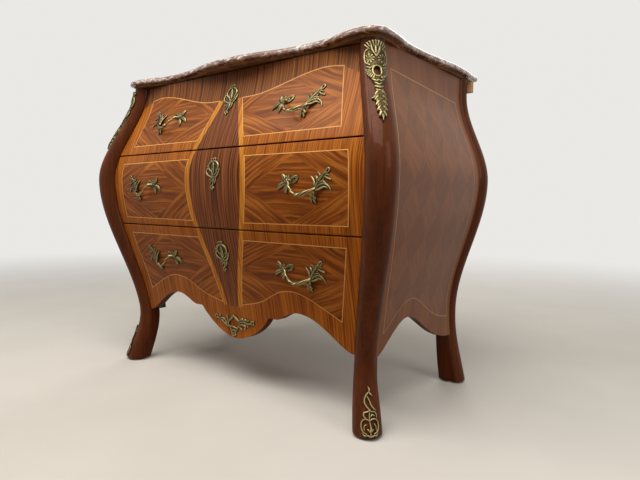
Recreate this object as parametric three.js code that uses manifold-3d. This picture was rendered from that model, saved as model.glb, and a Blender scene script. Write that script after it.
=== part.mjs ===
// A commode chest with three drawers: a case that swells to the front and sides, round nosed cabriole posts,
// a stone top with shaped edges, a shaped apron on the lowest drawer front and cast brass mounts.
// Millimetres, +Z up. The front faces -Y and the origin is on the floor under the middle of the chest.

import * as THREE from 'three';
import { mergeVertices } from 'three/addons/utils/BufferGeometryUtils.js';
import Module from 'manifold-3d';

const wasm = await Module();
wasm.setup();

// Driving dimensions of the case
const caseTop = 820;
const postHalfSpan = 399;
const frontAxisDepth = 203;
const rearAxisDepth = 214;
const seatGap = 0.3;
const cutOverrun = 5;

// The cabriole line that every post follows: its swing outwards and its slope at four heights
const footSwing = 23;
const ankleHeight = 165;
const bellyHeight = 548;
const bellySwing = 74;
const neckHeight = caseTop;
const neckSwing = 2;
const footSlope = -0.2;
const ankleSlope = 0.12;

// The back posts leave the ankle and reach the neck sooner, and swing outwards only
const rearFootSwing = 26;
const rearAnkleHeight = 215;
const rearAnkleSlope = 0.03;
const rearBellySwing = 68;
const rearNeckHeight = 775;
const rearNeckSwing = 9;

// The round nose of a post, by its radius at the same heights
const footRadius = 32;
const ankleRadius = 24;
const bellyRadius = 33;
const neckRadius = 26.5;
const faceLead = 6;
const rearFlat = 14;
const postTail = 50;
const legTail = 26;
const footChamfer = 3;
const legLedge = 8;

// Side panels
const sideLead = 16;
const sideSwellShare = 0.9;
const rearSwellShare = 1.08;
const panelThickness = 16;
const panelFootHeight = 155;
const rearFootDrop = 22;
const sideArchHeight = 224;
const sideArchOffset = 60;

// Drawer fronts, from the gaps between them
const frontThickness = 22;
const lowerGapHeight = 419;
const upperGapHeight = 617;
const drawerGap = 3;
const endClearance = 1.5;
const runningGap = 0.6;
const topReveal = 2.5;

// The shaped lower edge of the apron
const apronEndHeight = 158;
const apronArchHeight = 229;
const apronArchReach = 222;
const apronCuspHeight = 203;
const apronCuspReach = 149;
const apronStep = 25;
const apronDropHeight = 131;

// Drawer boxes
const sideBoard = 12;
const drawerBackBoard = 10;
const drawerBottom = 6;
const grooveDepth = 6;
const bottomRise = 10;
const backLowering = 12;
const boxRearClearance = 26;
const boxSideClearance = 15;
const boxTopClearance = 6;

// Rails, runners, bottom board and back panel inside the case
const railThickness = 14;
const railDepth = 56;
const railClearance = 1.5;
const topRailThickness = 18;
const topRailDepth = 70;
const runnerBearing = 14;
const guideThickness = 16;
const guideHeight = 20;
const boardHeight = 234;
const boardThickness = 12;
const lowRunnerThickness = 8;
const backThickness = 6;
const backInset = 6;
const backLip = 12;

// Locks
const lockWidth = 56;
const lockHeight = 64;
const lockDepth = 20;
const lockLetIn = 1;
const lockWall = 1.5;
const boltWidth = 26;
const boltThickness = 6;
const boltHeight = 30;
const boltThrow = 8;
const lockHeadroom = 1;
const keyRadius = 2.8;
const keySlotWidth = 2.6;
const keySlotDrop = 8;

// Stone top
const stoneThickness = 20;
const earOverhang = 14;
const frontBowOverhang = 40;
const frontValleyOverhang = 11;
const frontValleyReach = 248;
const sideValleyOverhang = 9;
const sideValleyOffset = 62;
const sideBowOverhang = 21;
const sideBowOffset = 175;
const stoneRear = 275;
const rearCornerOverhang = 15;
const coveInset = 15;
const coveHeight = 9;
const noseInset = 10;
const noseHeight = 3;
const listelInset = 1.5;

// Cast brass mounts
const castThickness = 3.5;
const mountDome = 2.5;
const handleReach = 26;
const bailRadius = 3.2;
const bailSpan = 68;
const bailDrop = 30;
const bailTilt = 14;
const innerLeafReach = 38;
const outerLeafReach = 46;
const upperHandleDrop = 111.5;
const middleHandleDrop = 92.5;
const lowerHandleDrop = 90.5;
const upperHandleOffset = 226;
const middleHandleOffset = 282;
const lowerHandleOffset = 242;
const escutcheonHeight = 78;
const escutcheonWidth = 50;
const keyDrop = 30;
const upperEscutcheonDrop = 38.5;
const middleEscutcheonDrop = 23.5;
const lowerEscutcheonDrop = 30.5;
const apronMountWidth = 150;
const apronMountHeight = 59;
const apronMountTop = 196;
const cornerMountDrop = 8;
const cornerMountLength = 174;
const cornerMountWidth = 48;
const cornerHoleDrop = 66;
const cornerHoleWidth = 12;
const cornerHoleHeight = 22;
const footMountTop = 104;
const footMountLength = 94;
const footMountWidth = 36;

// Small parts under and behind the case
const glideThickness = 4;
const glideRadius = 17;
const glideSetback = 6;
const spacerWidth = 44;
const spacerHeight = 28;
const spacerDrop = 3;
const spacerDepth = 14;
const spacerOverhang = 8;

// Outlines of the arches, the apron and the castings, in shares of their sizes
const archHandleShares = [0.25, 0.45];
const dropHandleShares = [0.8, 0.55, 0.35];
const innerLobeShares = [[15, 0.59], [90, 0.36], [155, 0.63], [210, 1], [246, 0.75], [310, 0.4]];
const outerLobeShares = [[-93, 0.67], [-13, 0.85], [17, 0.91], [46, 1], [79, 0.58], [123, 0.47], [205, 0.36]];
const lobeSpread = 8;
const flankShare = 0.74;
const valleyShare = 0.3;
const bailLowShare = 0.13;
const bailBendShare = 0.3;
const escutcheonShares = [
  [0, 0], [0.3, 0.03], [0.46, 0.1], [0.34, 0.18], [0.74, 0.24], [1, 0.36],
  [0.84, 0.5], [0.96, 0.6], [0.7, 0.73], [0.38, 0.84], [0.2, 0.93], [0, 1],
];
const apronMountShares = [
  [0, 0], [0.12, 0.04], [0.24, 0.22], [0.42, 0.3], [0.64, 0.2], [0.86, 0.12], [1, 0.24],
  [0.82, 0.36], [0.6, 0.42], [0.4, 0.5], [0.27, 0.62], [0.2, 0.8], [0.1, 0.95], [0, 1],
];
const cornerMountShares = [
  [0, 0.6], [0.12, 0.92], [0.28, 1], [0.42, 0.84], [0.52, 0.36], [0.68, 0.42], [0.84, 0.34], [1, 0.1],
];
const footMountShares = [[0, 0.12], [0.2, 0.3], [0.4, 0.42], [0.6, 0.7], [0.81, 1], [0.92, 0.8], [1, 0.35]];

// Steps that round the curves
const legSteps = 5;
const bodySteps = 24;
const noseSteps = 9;
const curveSteps = 8;
const edgeSteps = 3;
const bailSides = 6;
const bailSteps = 14;
const castRings = 14;
const castArcSteps = 6;
const pointsPerStation = 2;

// Materials
function material(color, roughness, metalness) {
  return new THREE.MeshStandardMaterial({ color, roughness, metalness });
}
const mahogany = () => material(0x4a1d12, 0.28, 0);
const veneer = () => material(0x8a4a1e, 0.3, 0);
const sideVeneer = () => material(0x6e4630, 0.35, 0);
const softwood = () => material(0xc9a46d, 0.7, 0);
const plywood = () => material(0xb08a5a, 0.75, 0);
const stone = () => material(0x7a5a50, 0.25, 0);
const brass = () => material(0xa5904a, 0.4, 0.9);
const steel = () => material(0x8d8a84, 0.45, 0.9);
const glideMaterial = () => material(0xd8d2c2, 0.6, 0);

// Solids from geometries, and back
function solid(geometry) {
  const bare = geometry.clone();
  bare.deleteAttribute('normal');
  bare.deleteAttribute('uv');
  const merged = mergeVertices(bare);
  return new wasm.Manifold(new wasm.Mesh({
    numProp: 3,
    vertProperties: new Float32Array(merged.attributes.position.array),
    triVerts: new Uint32Array(merged.index.array),
  }));
}

function geometryOf(body) {
  const mesh = body.getMesh();
  const geometry = new THREE.BufferGeometry();
  geometry.setAttribute('position', new THREE.BufferAttribute(new Float32Array(mesh.vertProperties), 3));
  geometry.setIndex(new THREE.BufferAttribute(new Uint32Array(mesh.triVerts), 1));
  geometry.computeVertexNormals();
  return geometry;
}

function box(xFrom, xTo, yFrom, yTo, zFrom, zTo) {
  const geometry = new THREE.BoxGeometry(xTo - xFrom, yTo - yFrom, zTo - zFrom);
  geometry.translate((xFrom + xTo) / 2, (yFrom + yTo) / 2, (zFrom + zTo) / 2);
  return solid(geometry);
}

// A prism of a shape drawn in the x-z plane, running from one y to a larger one
function prismAlongY(shape, yFrom, yTo) {
  const geometry = new THREE.ExtrudeGeometry(shape, {
    depth: yTo - yFrom,
    bevelEnabled: false,
    curveSegments: curveSteps,
  });
  geometry.rotateX(Math.PI / 2);
  geometry.translate(0, yTo, 0);
  return solid(geometry);
}

// A prism of a shape drawn in the y-z plane, running from one x to a larger one
function prismAlongX(shape, xFrom, xTo) {
  const geometry = new THREE.ExtrudeGeometry(shape, {
    depth: xTo - xFrom,
    bevelEnabled: false,
    curveSegments: curveSteps,
  });
  const axes = new THREE.Matrix4().makeBasis(
    new THREE.Vector3(0, 1, 0),
    new THREE.Vector3(0, 0, 1),
    new THREE.Vector3(1, 0, 0),
  );
  geometry.applyMatrix4(axes);
  geometry.translate(xFrom, 0, 0);
  return solid(geometry);
}

function shapeOf(points) {
  return new THREE.Shape(points.map(([across, up]) => new THREE.Vector2(across, up)));
}

// A closed skin through rings of points that all have the same count, from the lowest to the highest
function loftGeometry(ringList) {
  const flat = (ring) => ring.map((point) => new THREE.Vector2(point.x, point.y));
  const clockwise = THREE.ShapeUtils.isClockWise(flat(ringList[0]));
  const rings = clockwise ? ringList.map((ring) => ring.slice().reverse()) : ringList;
  const count = rings[0].length;
  const positions = rings.flat().flatMap((point) => [point.x, point.y, point.z]);
  const index = [];
  for (let r = 0; r + 1 < rings.length; r += 1) {
    for (let i = 0; i < count; i += 1) {
      const next = (i + 1) % count;
      const low = r * count;
      const high = low + count;
      index.push(low + i, low + next, high + next);
      index.push(low + i, high + next, high + i);
    }
  }
  for (const [a, b, c] of THREE.ShapeUtils.triangulateShape(flat(rings[0]), [])) {
    index.push(c, b, a);
  }
  const last = (rings.length - 1) * count;
  for (const [a, b, c] of THREE.ShapeUtils.triangulateShape(flat(rings[rings.length - 1]), [])) {
    index.push(last + a, last + b, last + c);
  }
  const geometry = new THREE.BufferGeometry();
  geometry.setAttribute('position', new THREE.Float32BufferAttribute(positions, 3));
  geometry.setIndex(index);
  return geometry;
}

function loft(ringList) {
  return solid(loftGeometry(ringList));
}

// A smooth line through stations that each give a height, a value and a slope
function blend(stations, height) {
  const upperIndex = Math.max(1, stations.findIndex((station) => height <= station.height));
  const above = height > stations[stations.length - 1].height;
  const upper = stations[above ? stations.length - 1 : upperIndex];
  const lower = stations[stations.indexOf(upper) - 1];
  const run = upper.height - lower.height;
  const t = THREE.MathUtils.clamp((height - lower.height) / run, 0, 1);
  const ease = t * t * (3 - 2 * t);
  const leave = t * (1 - t) * (1 - t) * lower.slope;
  const arrive = t * t * (t - 1) * upper.slope;
  return lower.value + (upper.value - lower.value) * ease + run * (leave + arrive);
}

// Every piece of the case is cut at these heights, so that neighbours have the same facets
const rearPanelFoot = panelFootHeight - rearFootDrop;
const rearLegTop = rearPanelFoot - legLedge;
const bodyFoot = panelFootHeight - seatGap;
const rearBodyFoot = rearPanelFoot - seatGap;
const grid = [0];
for (let i = 1; i <= legSteps; i += 1) {
  grid.push((rearLegTop * i) / legSteps);
}
grid.push(rearBodyFoot);
grid.push(panelFootHeight - legLedge);
for (let i = 0; i <= bodySteps; i += 1) {
  grid.push(bodyFoot + ((caseTop - bodyFoot) * i) / bodySteps);
}

function gridded(curve) {
  const values = grid.map(curve);
  return (height) => {
    const found = grid.findIndex((level) => height <= level);
    const upper = found === -1 ? grid.length - 1 : Math.max(found, 1);
    const share = (height - grid[upper - 1]) / (grid[upper] - grid[upper - 1]);
    return values[upper - 1] + (values[upper] - values[upper - 1]) * Math.min(share, 1);
  };
}

function levels(from, to) {
  return [from, ...grid.filter((level) => level > from && level < to), to];
}

// Lines that the case follows up its height
const frontSwing = gridded((height) => blend([
  { height: 0, value: footSwing, slope: footSlope },
  { height: ankleHeight, value: 0, slope: ankleSlope },
  { height: bellyHeight, value: bellySwing, slope: 0 },
  { height: neckHeight, value: neckSwing, slope: 0 },
], height));
const rearSwing = gridded((height) => blend([
  { height: 0, value: rearFootSwing, slope: footSlope },
  { height: rearAnkleHeight, value: 0, slope: rearAnkleSlope },
  { height: bellyHeight, value: rearBellySwing, slope: 0 },
  { height: rearNeckHeight, value: rearNeckSwing, slope: 0 },
], height));
const noseRadius = gridded((height) => blend([
  { height: 0, value: footRadius, slope: 0 },
  { height: ankleHeight, value: ankleRadius, slope: 0 },
  { height: bellyHeight, value: bellyRadius, slope: 0 },
  { height: neckHeight, value: neckRadius, slope: 0 },
], height));
const noseHalf = (height) => Math.sqrt(noseRadius(height) ** 2 - faceLead ** 2);
const faceY = (height) => -(frontAxisDepth + frontSwing(height) + faceLead);
const innerFaceY = (height) => faceY(height) + frontThickness;
const postInnerX = (height) => postHalfSpan + frontSwing(height) - noseHalf(height);
const rearInnerX = (height) => postHalfSpan + rearSwing(height) - noseHalf(height);
const swingOf = (rear) => (rear ? rearSwing : frontSwing);
const swellShareOf = (rear) => (rear ? rearSwellShare : sideSwellShare);
const bodyFootOf = (rear) => (rear ? rearBodyFoot : bodyFoot);
const sideX = (height, rear) => postHalfSpan + sideLead + swellShareOf(rear) * swingOf(rear)(height);
const sideStep = (height, rear) => sideX(height, rear) - postHalfSpan - swingOf(rear)(height);
const shoulder = (height, rear) => Math.sqrt(noseRadius(height) ** 2 - sideStep(height, rear) ** 2);
const hindmostInner = (from, to) => Math.max(...levels(from, to).map(innerFaceY));
const narrowest = (from, to, curve) => Math.min(...levels(from, to).map(curve));
const betweenPosts = (from, to) => Math.min(narrowest(from, to, postInnerX), narrowest(from, to, rearInnerX));
const slimmerSide = (height) => Math.min(sideX(height, false), sideX(height, true));
const insideHalf = (from, to) => narrowest(from, to, slimmerSide) - panelThickness - seatGap;

// Corner posts: a round nose outwards, a flat towards the drawers and a rebate for the side panel
function postSection(height, rear) {
  const radius = noseRadius(height);
  const inBody = height >= bodyFootOf(rear) - seatGap;
  const tail = inBody ? postTail : legTail;
  const step = sideStep(height, rear);
  const seat = shoulder(height, rear);
  const start = rear ? Math.asin(rearFlat / radius) : Math.PI - Math.asin(faceLead / radius);
  const end = -Math.acos(step / radius);
  const points = rear ? [[-noseHalf(height), rearFlat]] : [];
  for (let i = 0; i <= noseSteps; i += 1) {
    const angle = start + ((end - start) * i) / noseSteps;
    points.push([radius * Math.cos(angle), radius * Math.sin(angle)]);
  }
  const tongue = inBody ? step - panelThickness - seatGap : step;
  points.push([tongue, inBody ? -seat : -(seat + tail) / 2]);
  points.push([tongue, -tail]);
  points.push([-noseHalf(height), -tail]);
  return points;
}

function post(side, rear) {
  const swing = swingOf(rear);
  const ringAt = (height, sectionHeight, shrink) => {
    const axisX = postHalfSpan + swing(height);
    const axisY = rear ? rearAxisDepth : -(frontAxisDepth + swing(height));
    const outwards = rear ? 1 : -1;
    return postSection(sectionHeight, rear).map(([across, out]) => new THREE.Vector3(
      side * (axisX + across * shrink),
      axisY + outwards * out * shrink,
      height,
    ));
  };
  const rings = [];
  const sole = glideThickness;
  rings.push(ringAt(sole, sole, 1 - footChamfer / footRadius));
  rings.push(ringAt(sole + footChamfer, sole + footChamfer, 1));
  for (const level of grid.filter((height) => height > sole + footChamfer)) {
    rings.push(ringAt(level, level, 1));
  }
  return loft(rings);
}

// Side panels, bent to the swell and cut to an arch below that ends lower at the rear
function sidePanel(side) {
  const bandLevels = levels(rearBodyFoot, caseTop);
  const bandAt = (lineAt, rear) => {
    const outer = bandLevels.map((level) => new THREE.Vector3(side * sideX(level, rear), level, -lineAt(level)));
    const inner = bandLevels.map((level) => (
      new THREE.Vector3(side * (sideX(level, rear) - panelThickness), level, -lineAt(level))
    ));
    return [...outer, ...inner.reverse()];
  };
  const frontEdge = (level) => -(frontAxisDepth + frontSwing(level)) + shoulder(level, false) + seatGap;
  const rearEdge = (level) => rearAxisDepth - shoulder(level, true) - seatGap;
  const outline = new THREE.Shape();
  const footFront = frontEdge(panelFootHeight);
  const footRear = rearEdge(rearPanelFoot);
  const crown = -sideArchOffset;
  outline.moveTo(footFront, panelFootHeight);
  const frontRun = crown - footFront;
  outline.bezierCurveTo(
    footFront + frontRun * archHandleShares[0],
    panelFootHeight,
    crown - frontRun * archHandleShares[1],
    sideArchHeight,
    crown,
    sideArchHeight,
  );
  const rearRun = footRear - crown;
  outline.bezierCurveTo(
    crown + rearRun * archHandleShares[0],
    sideArchHeight,
    footRear - rearRun * archHandleShares[1],
    rearPanelFoot,
    footRear,
    rearPanelFoot,
  );
  for (const level of levels(rearPanelFoot, caseTop).slice(1)) {
    outline.lineTo(rearEdge(level), level);
  }
  for (const level of levels(panelFootHeight, caseTop).reverse()) {
    outline.lineTo(frontEdge(level), level);
  }
  const reach = postHalfSpan + bellySwing + sideLead + cutOverrun;
  const tailReach = postTail + cutOverrun;
  const blank = loftGeometry([
    bandAt(() => rearAxisDepth, true),
    bandAt(() => rearAxisDepth - tailReach, true),
    bandAt((level) => tailReach - frontAxisDepth - frontSwing(level), false),
    bandAt(() => -(frontAxisDepth + bellySwing), false),
  ]);
  blank.rotateX(Math.PI / 2);
  return solid(blank).intersect(prismAlongX(outline, -reach, reach));
}

// A band that follows the swell of the drawer fronts, from a distance before the face to one behind it
function faceBand(from, to, before, behind) {
  const heights = levels(from, to);
  const near = heights.map((level) => [faceY(level) - before, level]);
  const far = heights.slice().reverse().map((level) => [faceY(level) + behind, level]);
  return shapeOf([...near, ...far]);
}

// The lower edge of the apron from its right end to the middle: an arch, a cusp and the central drop
function apronHalf() {
  const endX = postInnerX(apronEndHeight) - endClearance;
  const archRun = endX - apronArchReach;
  const path = new THREE.Path();
  path.moveTo(endX, apronEndHeight);
  path.bezierCurveTo(
    endX - archRun * archHandleShares[0],
    apronEndHeight,
    apronArchReach + archRun * archHandleShares[1],
    apronArchHeight,
    apronArchReach,
    apronArchHeight,
  );
  const cuspRun = apronArchReach - apronCuspReach;
  path.bezierCurveTo(
    apronArchReach - cuspRun * archHandleShares[1],
    apronArchHeight,
    apronCuspReach + cuspRun * archHandleShares[0],
    apronCuspHeight,
    apronCuspReach,
    apronCuspHeight,
  );
  const dropReach = apronCuspReach - apronStep;
  path.lineTo(dropReach, apronCuspHeight);
  path.bezierCurveTo(
    dropReach * dropHandleShares[0],
    apronCuspHeight - (apronCuspHeight - apronDropHeight) * dropHandleShares[1],
    dropReach * dropHandleShares[2],
    apronDropHeight,
    0,
    apronDropHeight,
  );
  return path.getPoints(curveSteps).map((point) => [point.x, point.y]);
}

function drawerOutline(drawer) {
  const edge = levels(drawer.from, drawer.to).map((level) => [postInnerX(level) - endClearance, level]);
  const mirrored = (points) => points.map(([across, up]) => [-across, up]).reverse();
  const below = drawer.hasApron ? apronHalf() : [];
  const lower = [...below.slice(1), ...mirrored(below.slice(1, -1))];
  return shapeOf([...edge.slice().reverse(), ...lower, ...mirrored(edge.slice().reverse())]);
}

function keyhole(drawer, yFrom, yTo) {
  const shape = new THREE.Shape();
  const slotHalf = keySlotWidth / 2;
  const turn = Math.asin(slotHalf / keyRadius);
  shape.absarc(0, drawer.keyHeight, keyRadius, -Math.PI / 2 + turn, Math.PI * 1.5 - turn, false);
  shape.lineTo(-slotHalf, drawer.keyHeight - keySlotDrop);
  shape.lineTo(slotHalf, drawer.keyHeight - keySlotDrop);
  return prismAlongY(shape, yFrom, yTo);
}

// The box of a drawer's lock case, grown by a clearance
function lockBox(drawer, grow) {
  const front = innerFaceY(drawer.lockTop) - lockLetIn;
  const half = lockWidth / 2 + grow;
  const under = drawer.lockTop - lockHeight;
  return box(-half, half, front - grow, front + lockDepth + grow, under - grow, drawer.lockTop + grow);
}

// The box of its bolt, grown by a clearance all round but for the top, which is lifted by a length
function boltBox(drawer, grow, lift) {
  const rear = innerFaceY(drawer.lockTop) - lockLetIn + lockDepth - lockWall;
  const half = boltWidth / 2 + grow;
  const under = drawer.lockTop - boltHeight;
  return box(-half, half, rear - boltThickness - grow, rear + grow, under - grow, drawer.lockTop + lift);
}

function drawerFront(drawer) {
  const reach = postHalfSpan + bellySwing;
  const lowest = drawer.hasApron ? apronDropHeight : drawer.from;
  const band = faceBand(lowest - cutOverrun, drawer.to + cutOverrun, 0, frontThickness);
  const deepest = faceY(bellyHeight) - cutOverrun;
  const outline = prismAlongY(drawerOutline(drawer), deepest, 0);
  const front = prismAlongX(band, -reach, reach).intersect(outline);
  return front.subtract(lockBox(drawer, seatGap)).subtract(keyhole(drawer, deepest, 0));
}

const boxRear = rearAxisDepth - boxRearClearance;

function drawerSide(drawer, side) {
  const heights = levels(drawer.floor, drawer.boxTop);
  const outline = heights.map((level) => [innerFaceY(level) + seatGap, level]);
  outline.push([boxRear, drawer.boxTop]);
  outline.push([boxRear, drawer.floor]);
  const inner = drawer.half - sideBoard;
  const xEnds = [side * inner, side * drawer.half];
  const board = prismAlongX(shapeOf(outline), Math.min(...xEnds), Math.max(...xEnds));
  const grooveEnds = [side * (inner - cutOverrun), side * (inner + grooveDepth)];
  const grooveFloor = drawer.floor + bottomRise;
  return board.subtract(box(
    Math.min(...grooveEnds),
    Math.max(...grooveEnds),
    faceY(bellyHeight),
    boxRear + cutOverrun,
    grooveFloor - seatGap,
    grooveFloor + drawerBottom + seatGap,
  ));
}

function drawerBottomPanel(drawer) {
  const half = drawer.half - sideBoard + grooveDepth - seatGap;
  const floor = drawer.floor + bottomRise;
  const front = hindmostInner(floor, floor + drawerBottom) + seatGap;
  return box(-half, half, front, boxRear, floor, floor + drawerBottom);
}

function drawerBack(drawer) {
  const half = drawer.half - sideBoard - seatGap;
  const floor = drawer.floor + bottomRise + drawerBottom + seatGap;
  return box(-half, half, boxRear - drawerBackBoard, boxRear, floor, drawer.boxTop - backLowering);
}

function lockCase(drawer) {
  const front = innerFaceY(drawer.lockTop) - lockLetIn;
  const pocket = boltBox(drawer, seatGap, cutOverrun);
  const keyway = keyhole(drawer, front - cutOverrun, front + lockDepth / 2);
  return lockBox(drawer, 0).subtract(pocket).subtract(keyway);
}

// Castings that lie on the swelling face of a drawer front
function castOnFace(shape, from, to, thickness) {
  const reach = postHalfSpan + bellySwing;
  const band = faceBand(from - cutOverrun, to + cutOverrun, seatGap + thickness, -seatGap);
  const deepest = faceY(bellyHeight) - cutOverrun - thickness;
  return prismAlongX(band, -reach, reach).intersect(prismAlongY(shape, deepest, 0));
}

// A symmetric outline from shares of its half width and height, given from the top to the bottom
function symmetricOutline(shares, halfWidth, height, top) {
  const points = shares.map(([across, down]) => new THREE.Vector2(across * halfWidth, top - down * height));
  const right = new THREE.SplineCurve(points).getPoints(shares.length * pointsPerStation);
  const left = right.slice(1, -1).map((point) => new THREE.Vector2(-point.x, point.y)).reverse();
  return new THREE.Shape([...right, ...left]);
}

// A leaf with pointed lobes round a boss, each lobe by its angle and its share of the leaf's reach
function leafShape(centreX, centreZ, reach, lobes) {
  const points = [];
  const at = (degrees, distance) => {
    const angle = THREE.MathUtils.degToRad(degrees);
    points.push([centreX + distance * Math.cos(angle), centreZ + distance * Math.sin(angle)]);
  };
  lobes.forEach(([degrees, lobeShare], i) => {
    const nextDegrees = i + 1 < lobes.length ? lobes[i + 1][0] : lobes[0][0] + 360;
    at(degrees - lobeSpread, reach * lobeShare * flankShare);
    at(degrees, reach * lobeShare);
    at(degrees + lobeSpread, reach * lobeShare * flankShare);
    at((degrees + nextDegrees) / 2, reach * valleyShare);
  });
  return shapeOf(points);
}

function tube(points, radius, sides, steps) {
  const section = new THREE.Shape();
  for (let i = 0; i < sides; i += 1) {
    const angle = (2 * Math.PI * i) / sides;
    const corner = [radius * Math.cos(angle), radius * Math.sin(angle)];
    if (i === 0) {
      section.moveTo(...corner);
    } else {
      section.lineTo(...corner);
    }
  }
  const extrudePath = new THREE.CatmullRomCurve3(points);
  return solid(new THREE.ExtrudeGeometry(section, { steps, extrudePath, bevelEnabled: false }));
}

function mirroredX(body) {
  const geometry = geometryOf(body);
  geometry.scale(-1, 1, 1);
  const index = geometry.index.array;
  for (let i = 0; i < index.length; i += 3) {
    [index[i], index[i + 1]] = [index[i + 1], index[i]];
  }
  geometry.deleteAttribute('normal');
  return solid(geometry);
}

// A handle cast in one piece: two leaves and a branch that stands off the face between them
function handle(drawer, side) {
  const inner = [drawer.handleOffset - bailSpan / 2, drawer.handleHeight + bailTilt / 2];
  const outer = [drawer.handleOffset + bailSpan / 2, drawer.handleHeight - bailTilt / 2];
  const low = [drawer.handleOffset - bailSpan * bailLowShare, drawer.handleHeight - bailDrop];
  const leaf = (centre, reach, lobes) => castOnFace(
    leafShape(...centre, reach, lobes),
    centre[1] - reach,
    centre[1] + reach,
    castThickness,
  );
  const standing = ([x, z], out) => new THREE.Vector3(x, faceY(z) - out, z);
  const between = (a, b, share) => [a[0] + (b[0] - a[0]) * share, a[1] + (b[1] - a[1]) * share];
  const branch = tube([
    standing(inner, castThickness / 2),
    standing(inner, handleReach / 2),
    standing(between(inner, low, bailBendShare), handleReach),
    standing(low, handleReach),
    standing(between(outer, low, bailBendShare), handleReach),
    standing(outer, handleReach / 2),
    standing(outer, castThickness / 2),
  ], bailRadius, bailSides, bailSteps);
  const innerLeaf = leaf(inner, innerLeafReach, innerLobeShares);
  const outerLeaf = leaf(outer, outerLeafReach, outerLobeShares);
  const right = innerLeaf.add(outerLeaf).add(branch);
  return side > 0 ? right : mirroredX(right);
}

function escutcheon(drawer) {
  const top = drawer.escutcheonTop;
  const shape = symmetricOutline(escutcheonShares, escutcheonWidth / 2, escutcheonHeight, top);
  const plate = castOnFace(shape, top - escutcheonHeight, top, castThickness);
  return plate.subtract(keyhole(drawer, faceY(bellyHeight) - 2 * cutOverrun, 0));
}

function apronMount() {
  const shape = symmetricOutline(apronMountShares, apronMountWidth / 2, apronMountHeight, apronMountTop);
  return castOnFace(shape, apronMountTop - apronMountHeight, apronMountTop, castThickness);
}

// Castings that wrap the nose of a front post, by their half widths from the top down
function castOnNose(side, top, length, width, shares) {
  const stations = shares.map(([down, wide]) => new THREE.Vector2(down, wide));
  const widths = new THREE.SplineCurve(stations);
  const rings = [];
  for (let k = castRings; k >= 0; k -= 1) {
    const point = widths.getPoint(k / castRings);
    const height = top - length * point.x;
    const radius = noseRadius(height) + seatGap;
    const halfAngle = (width * point.y) / 2 / radius;
    const inner = radius / Math.cos(halfAngle / castArcSteps);
    const axisX = postHalfSpan + frontSwing(height);
    const axisY = -(frontAxisDepth + frontSwing(height));
    const ring = [];
    const arc = (i, distance) => {
      const angle = -Math.PI / 4 + halfAngle * ((2 * i) / castArcSteps - 1);
      const x = axisX + distance * Math.cos(angle);
      const y = axisY + distance * Math.sin(angle);
      ring.push(new THREE.Vector3(x, y, height));
    };
    for (let i = 0; i <= castArcSteps; i += 1) {
      arc(i, inner);
    }
    for (let i = castArcSteps; i >= 0; i -= 1) {
      arc(i, inner + castThickness + mountDome * Math.sin((Math.PI * i) / castArcSteps));
    }
    rings.push(ring);
  }
  const right = loft(rings);
  return side > 0 ? right : mirroredX(right);
}

const cornerMountTop = caseTop - cornerMountDrop;

function cornerMount(side) {
  const height = cornerMountTop - cornerHoleDrop;
  const oval = new THREE.Shape();
  oval.absellipse(0, 0, cornerHoleWidth / 2, cornerHoleHeight / 2, 0, 2 * Math.PI);
  const drill = new THREE.ExtrudeGeometry(oval, {
    depth: 2 * bellyRadius,
    bevelEnabled: false,
    curveSegments: curveSteps,
  });
  drill.rotateX(Math.PI / 2);
  drill.rotateZ((side * Math.PI) / 4);
  const swing = frontSwing(height);
  drill.translate(side * (postHalfSpan + swing), -(frontAxisDepth + swing), height);
  const cast = castOnNose(side, cornerMountTop, cornerMountLength, cornerMountWidth, cornerMountShares);
  return cast.subtract(solid(drill));
}

function footMount(side) {
  return castOnNose(side, footMountTop, footMountLength, footMountWidth, footMountShares);
}

// Rails, runners, bottom board and back panel
function rail(under, thickness, depth, drawer) {
  const top = under + thickness;
  const half = narrowest(under, top, postInnerX) - seatGap;
  const front = hindmostInner(under, top) + railClearance;
  const mortise = boltBox(drawer, railClearance, lockHeadroom + boltThrow + railClearance);
  return box(-half, half, front, front + depth, under, top).subtract(mortise);
}

function rearTopRail() {
  const under = caseTop - topRailThickness;
  const half = narrowest(under, caseTop, rearInnerX) - seatGap;
  const rear = rearAxisDepth + backInset - seatGap;
  return box(-half, half, rear - topRailDepth, rear, under, caseTop);
}

function runner(side, drawer) {
  const outer = insideHalf(drawer.runnerUnder, drawer.runnerTop);
  const inner = drawer.half - runnerBearing;
  const guide = drawer.half + endClearance;
  const guideTop = drawer.runnerTop + guideHeight;
  const outline = [
    [inner, drawer.runnerUnder],
    [outer, drawer.runnerUnder],
    [outer, drawer.runnerTop],
    [guide + guideThickness, drawer.runnerTop],
    [guide + guideThickness, guideTop],
    [guide, guideTop],
    [guide, drawer.runnerTop],
    [inner, drawer.runnerTop],
  ];
  const shape = shapeOf(outline.map(([across, up]) => [side * across, up]));
  return prismAlongY(shape, drawer.runnerFront, rearAxisDepth - postTail - seatGap);
}

const lowRunnerFront = Math.max(
  ...levels(boardHeight, boardHeight + boardThickness + lowRunnerThickness + guideHeight)
    .map((level) => postTail - frontAxisDepth - frontSwing(level)),
) + seatGap;

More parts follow.
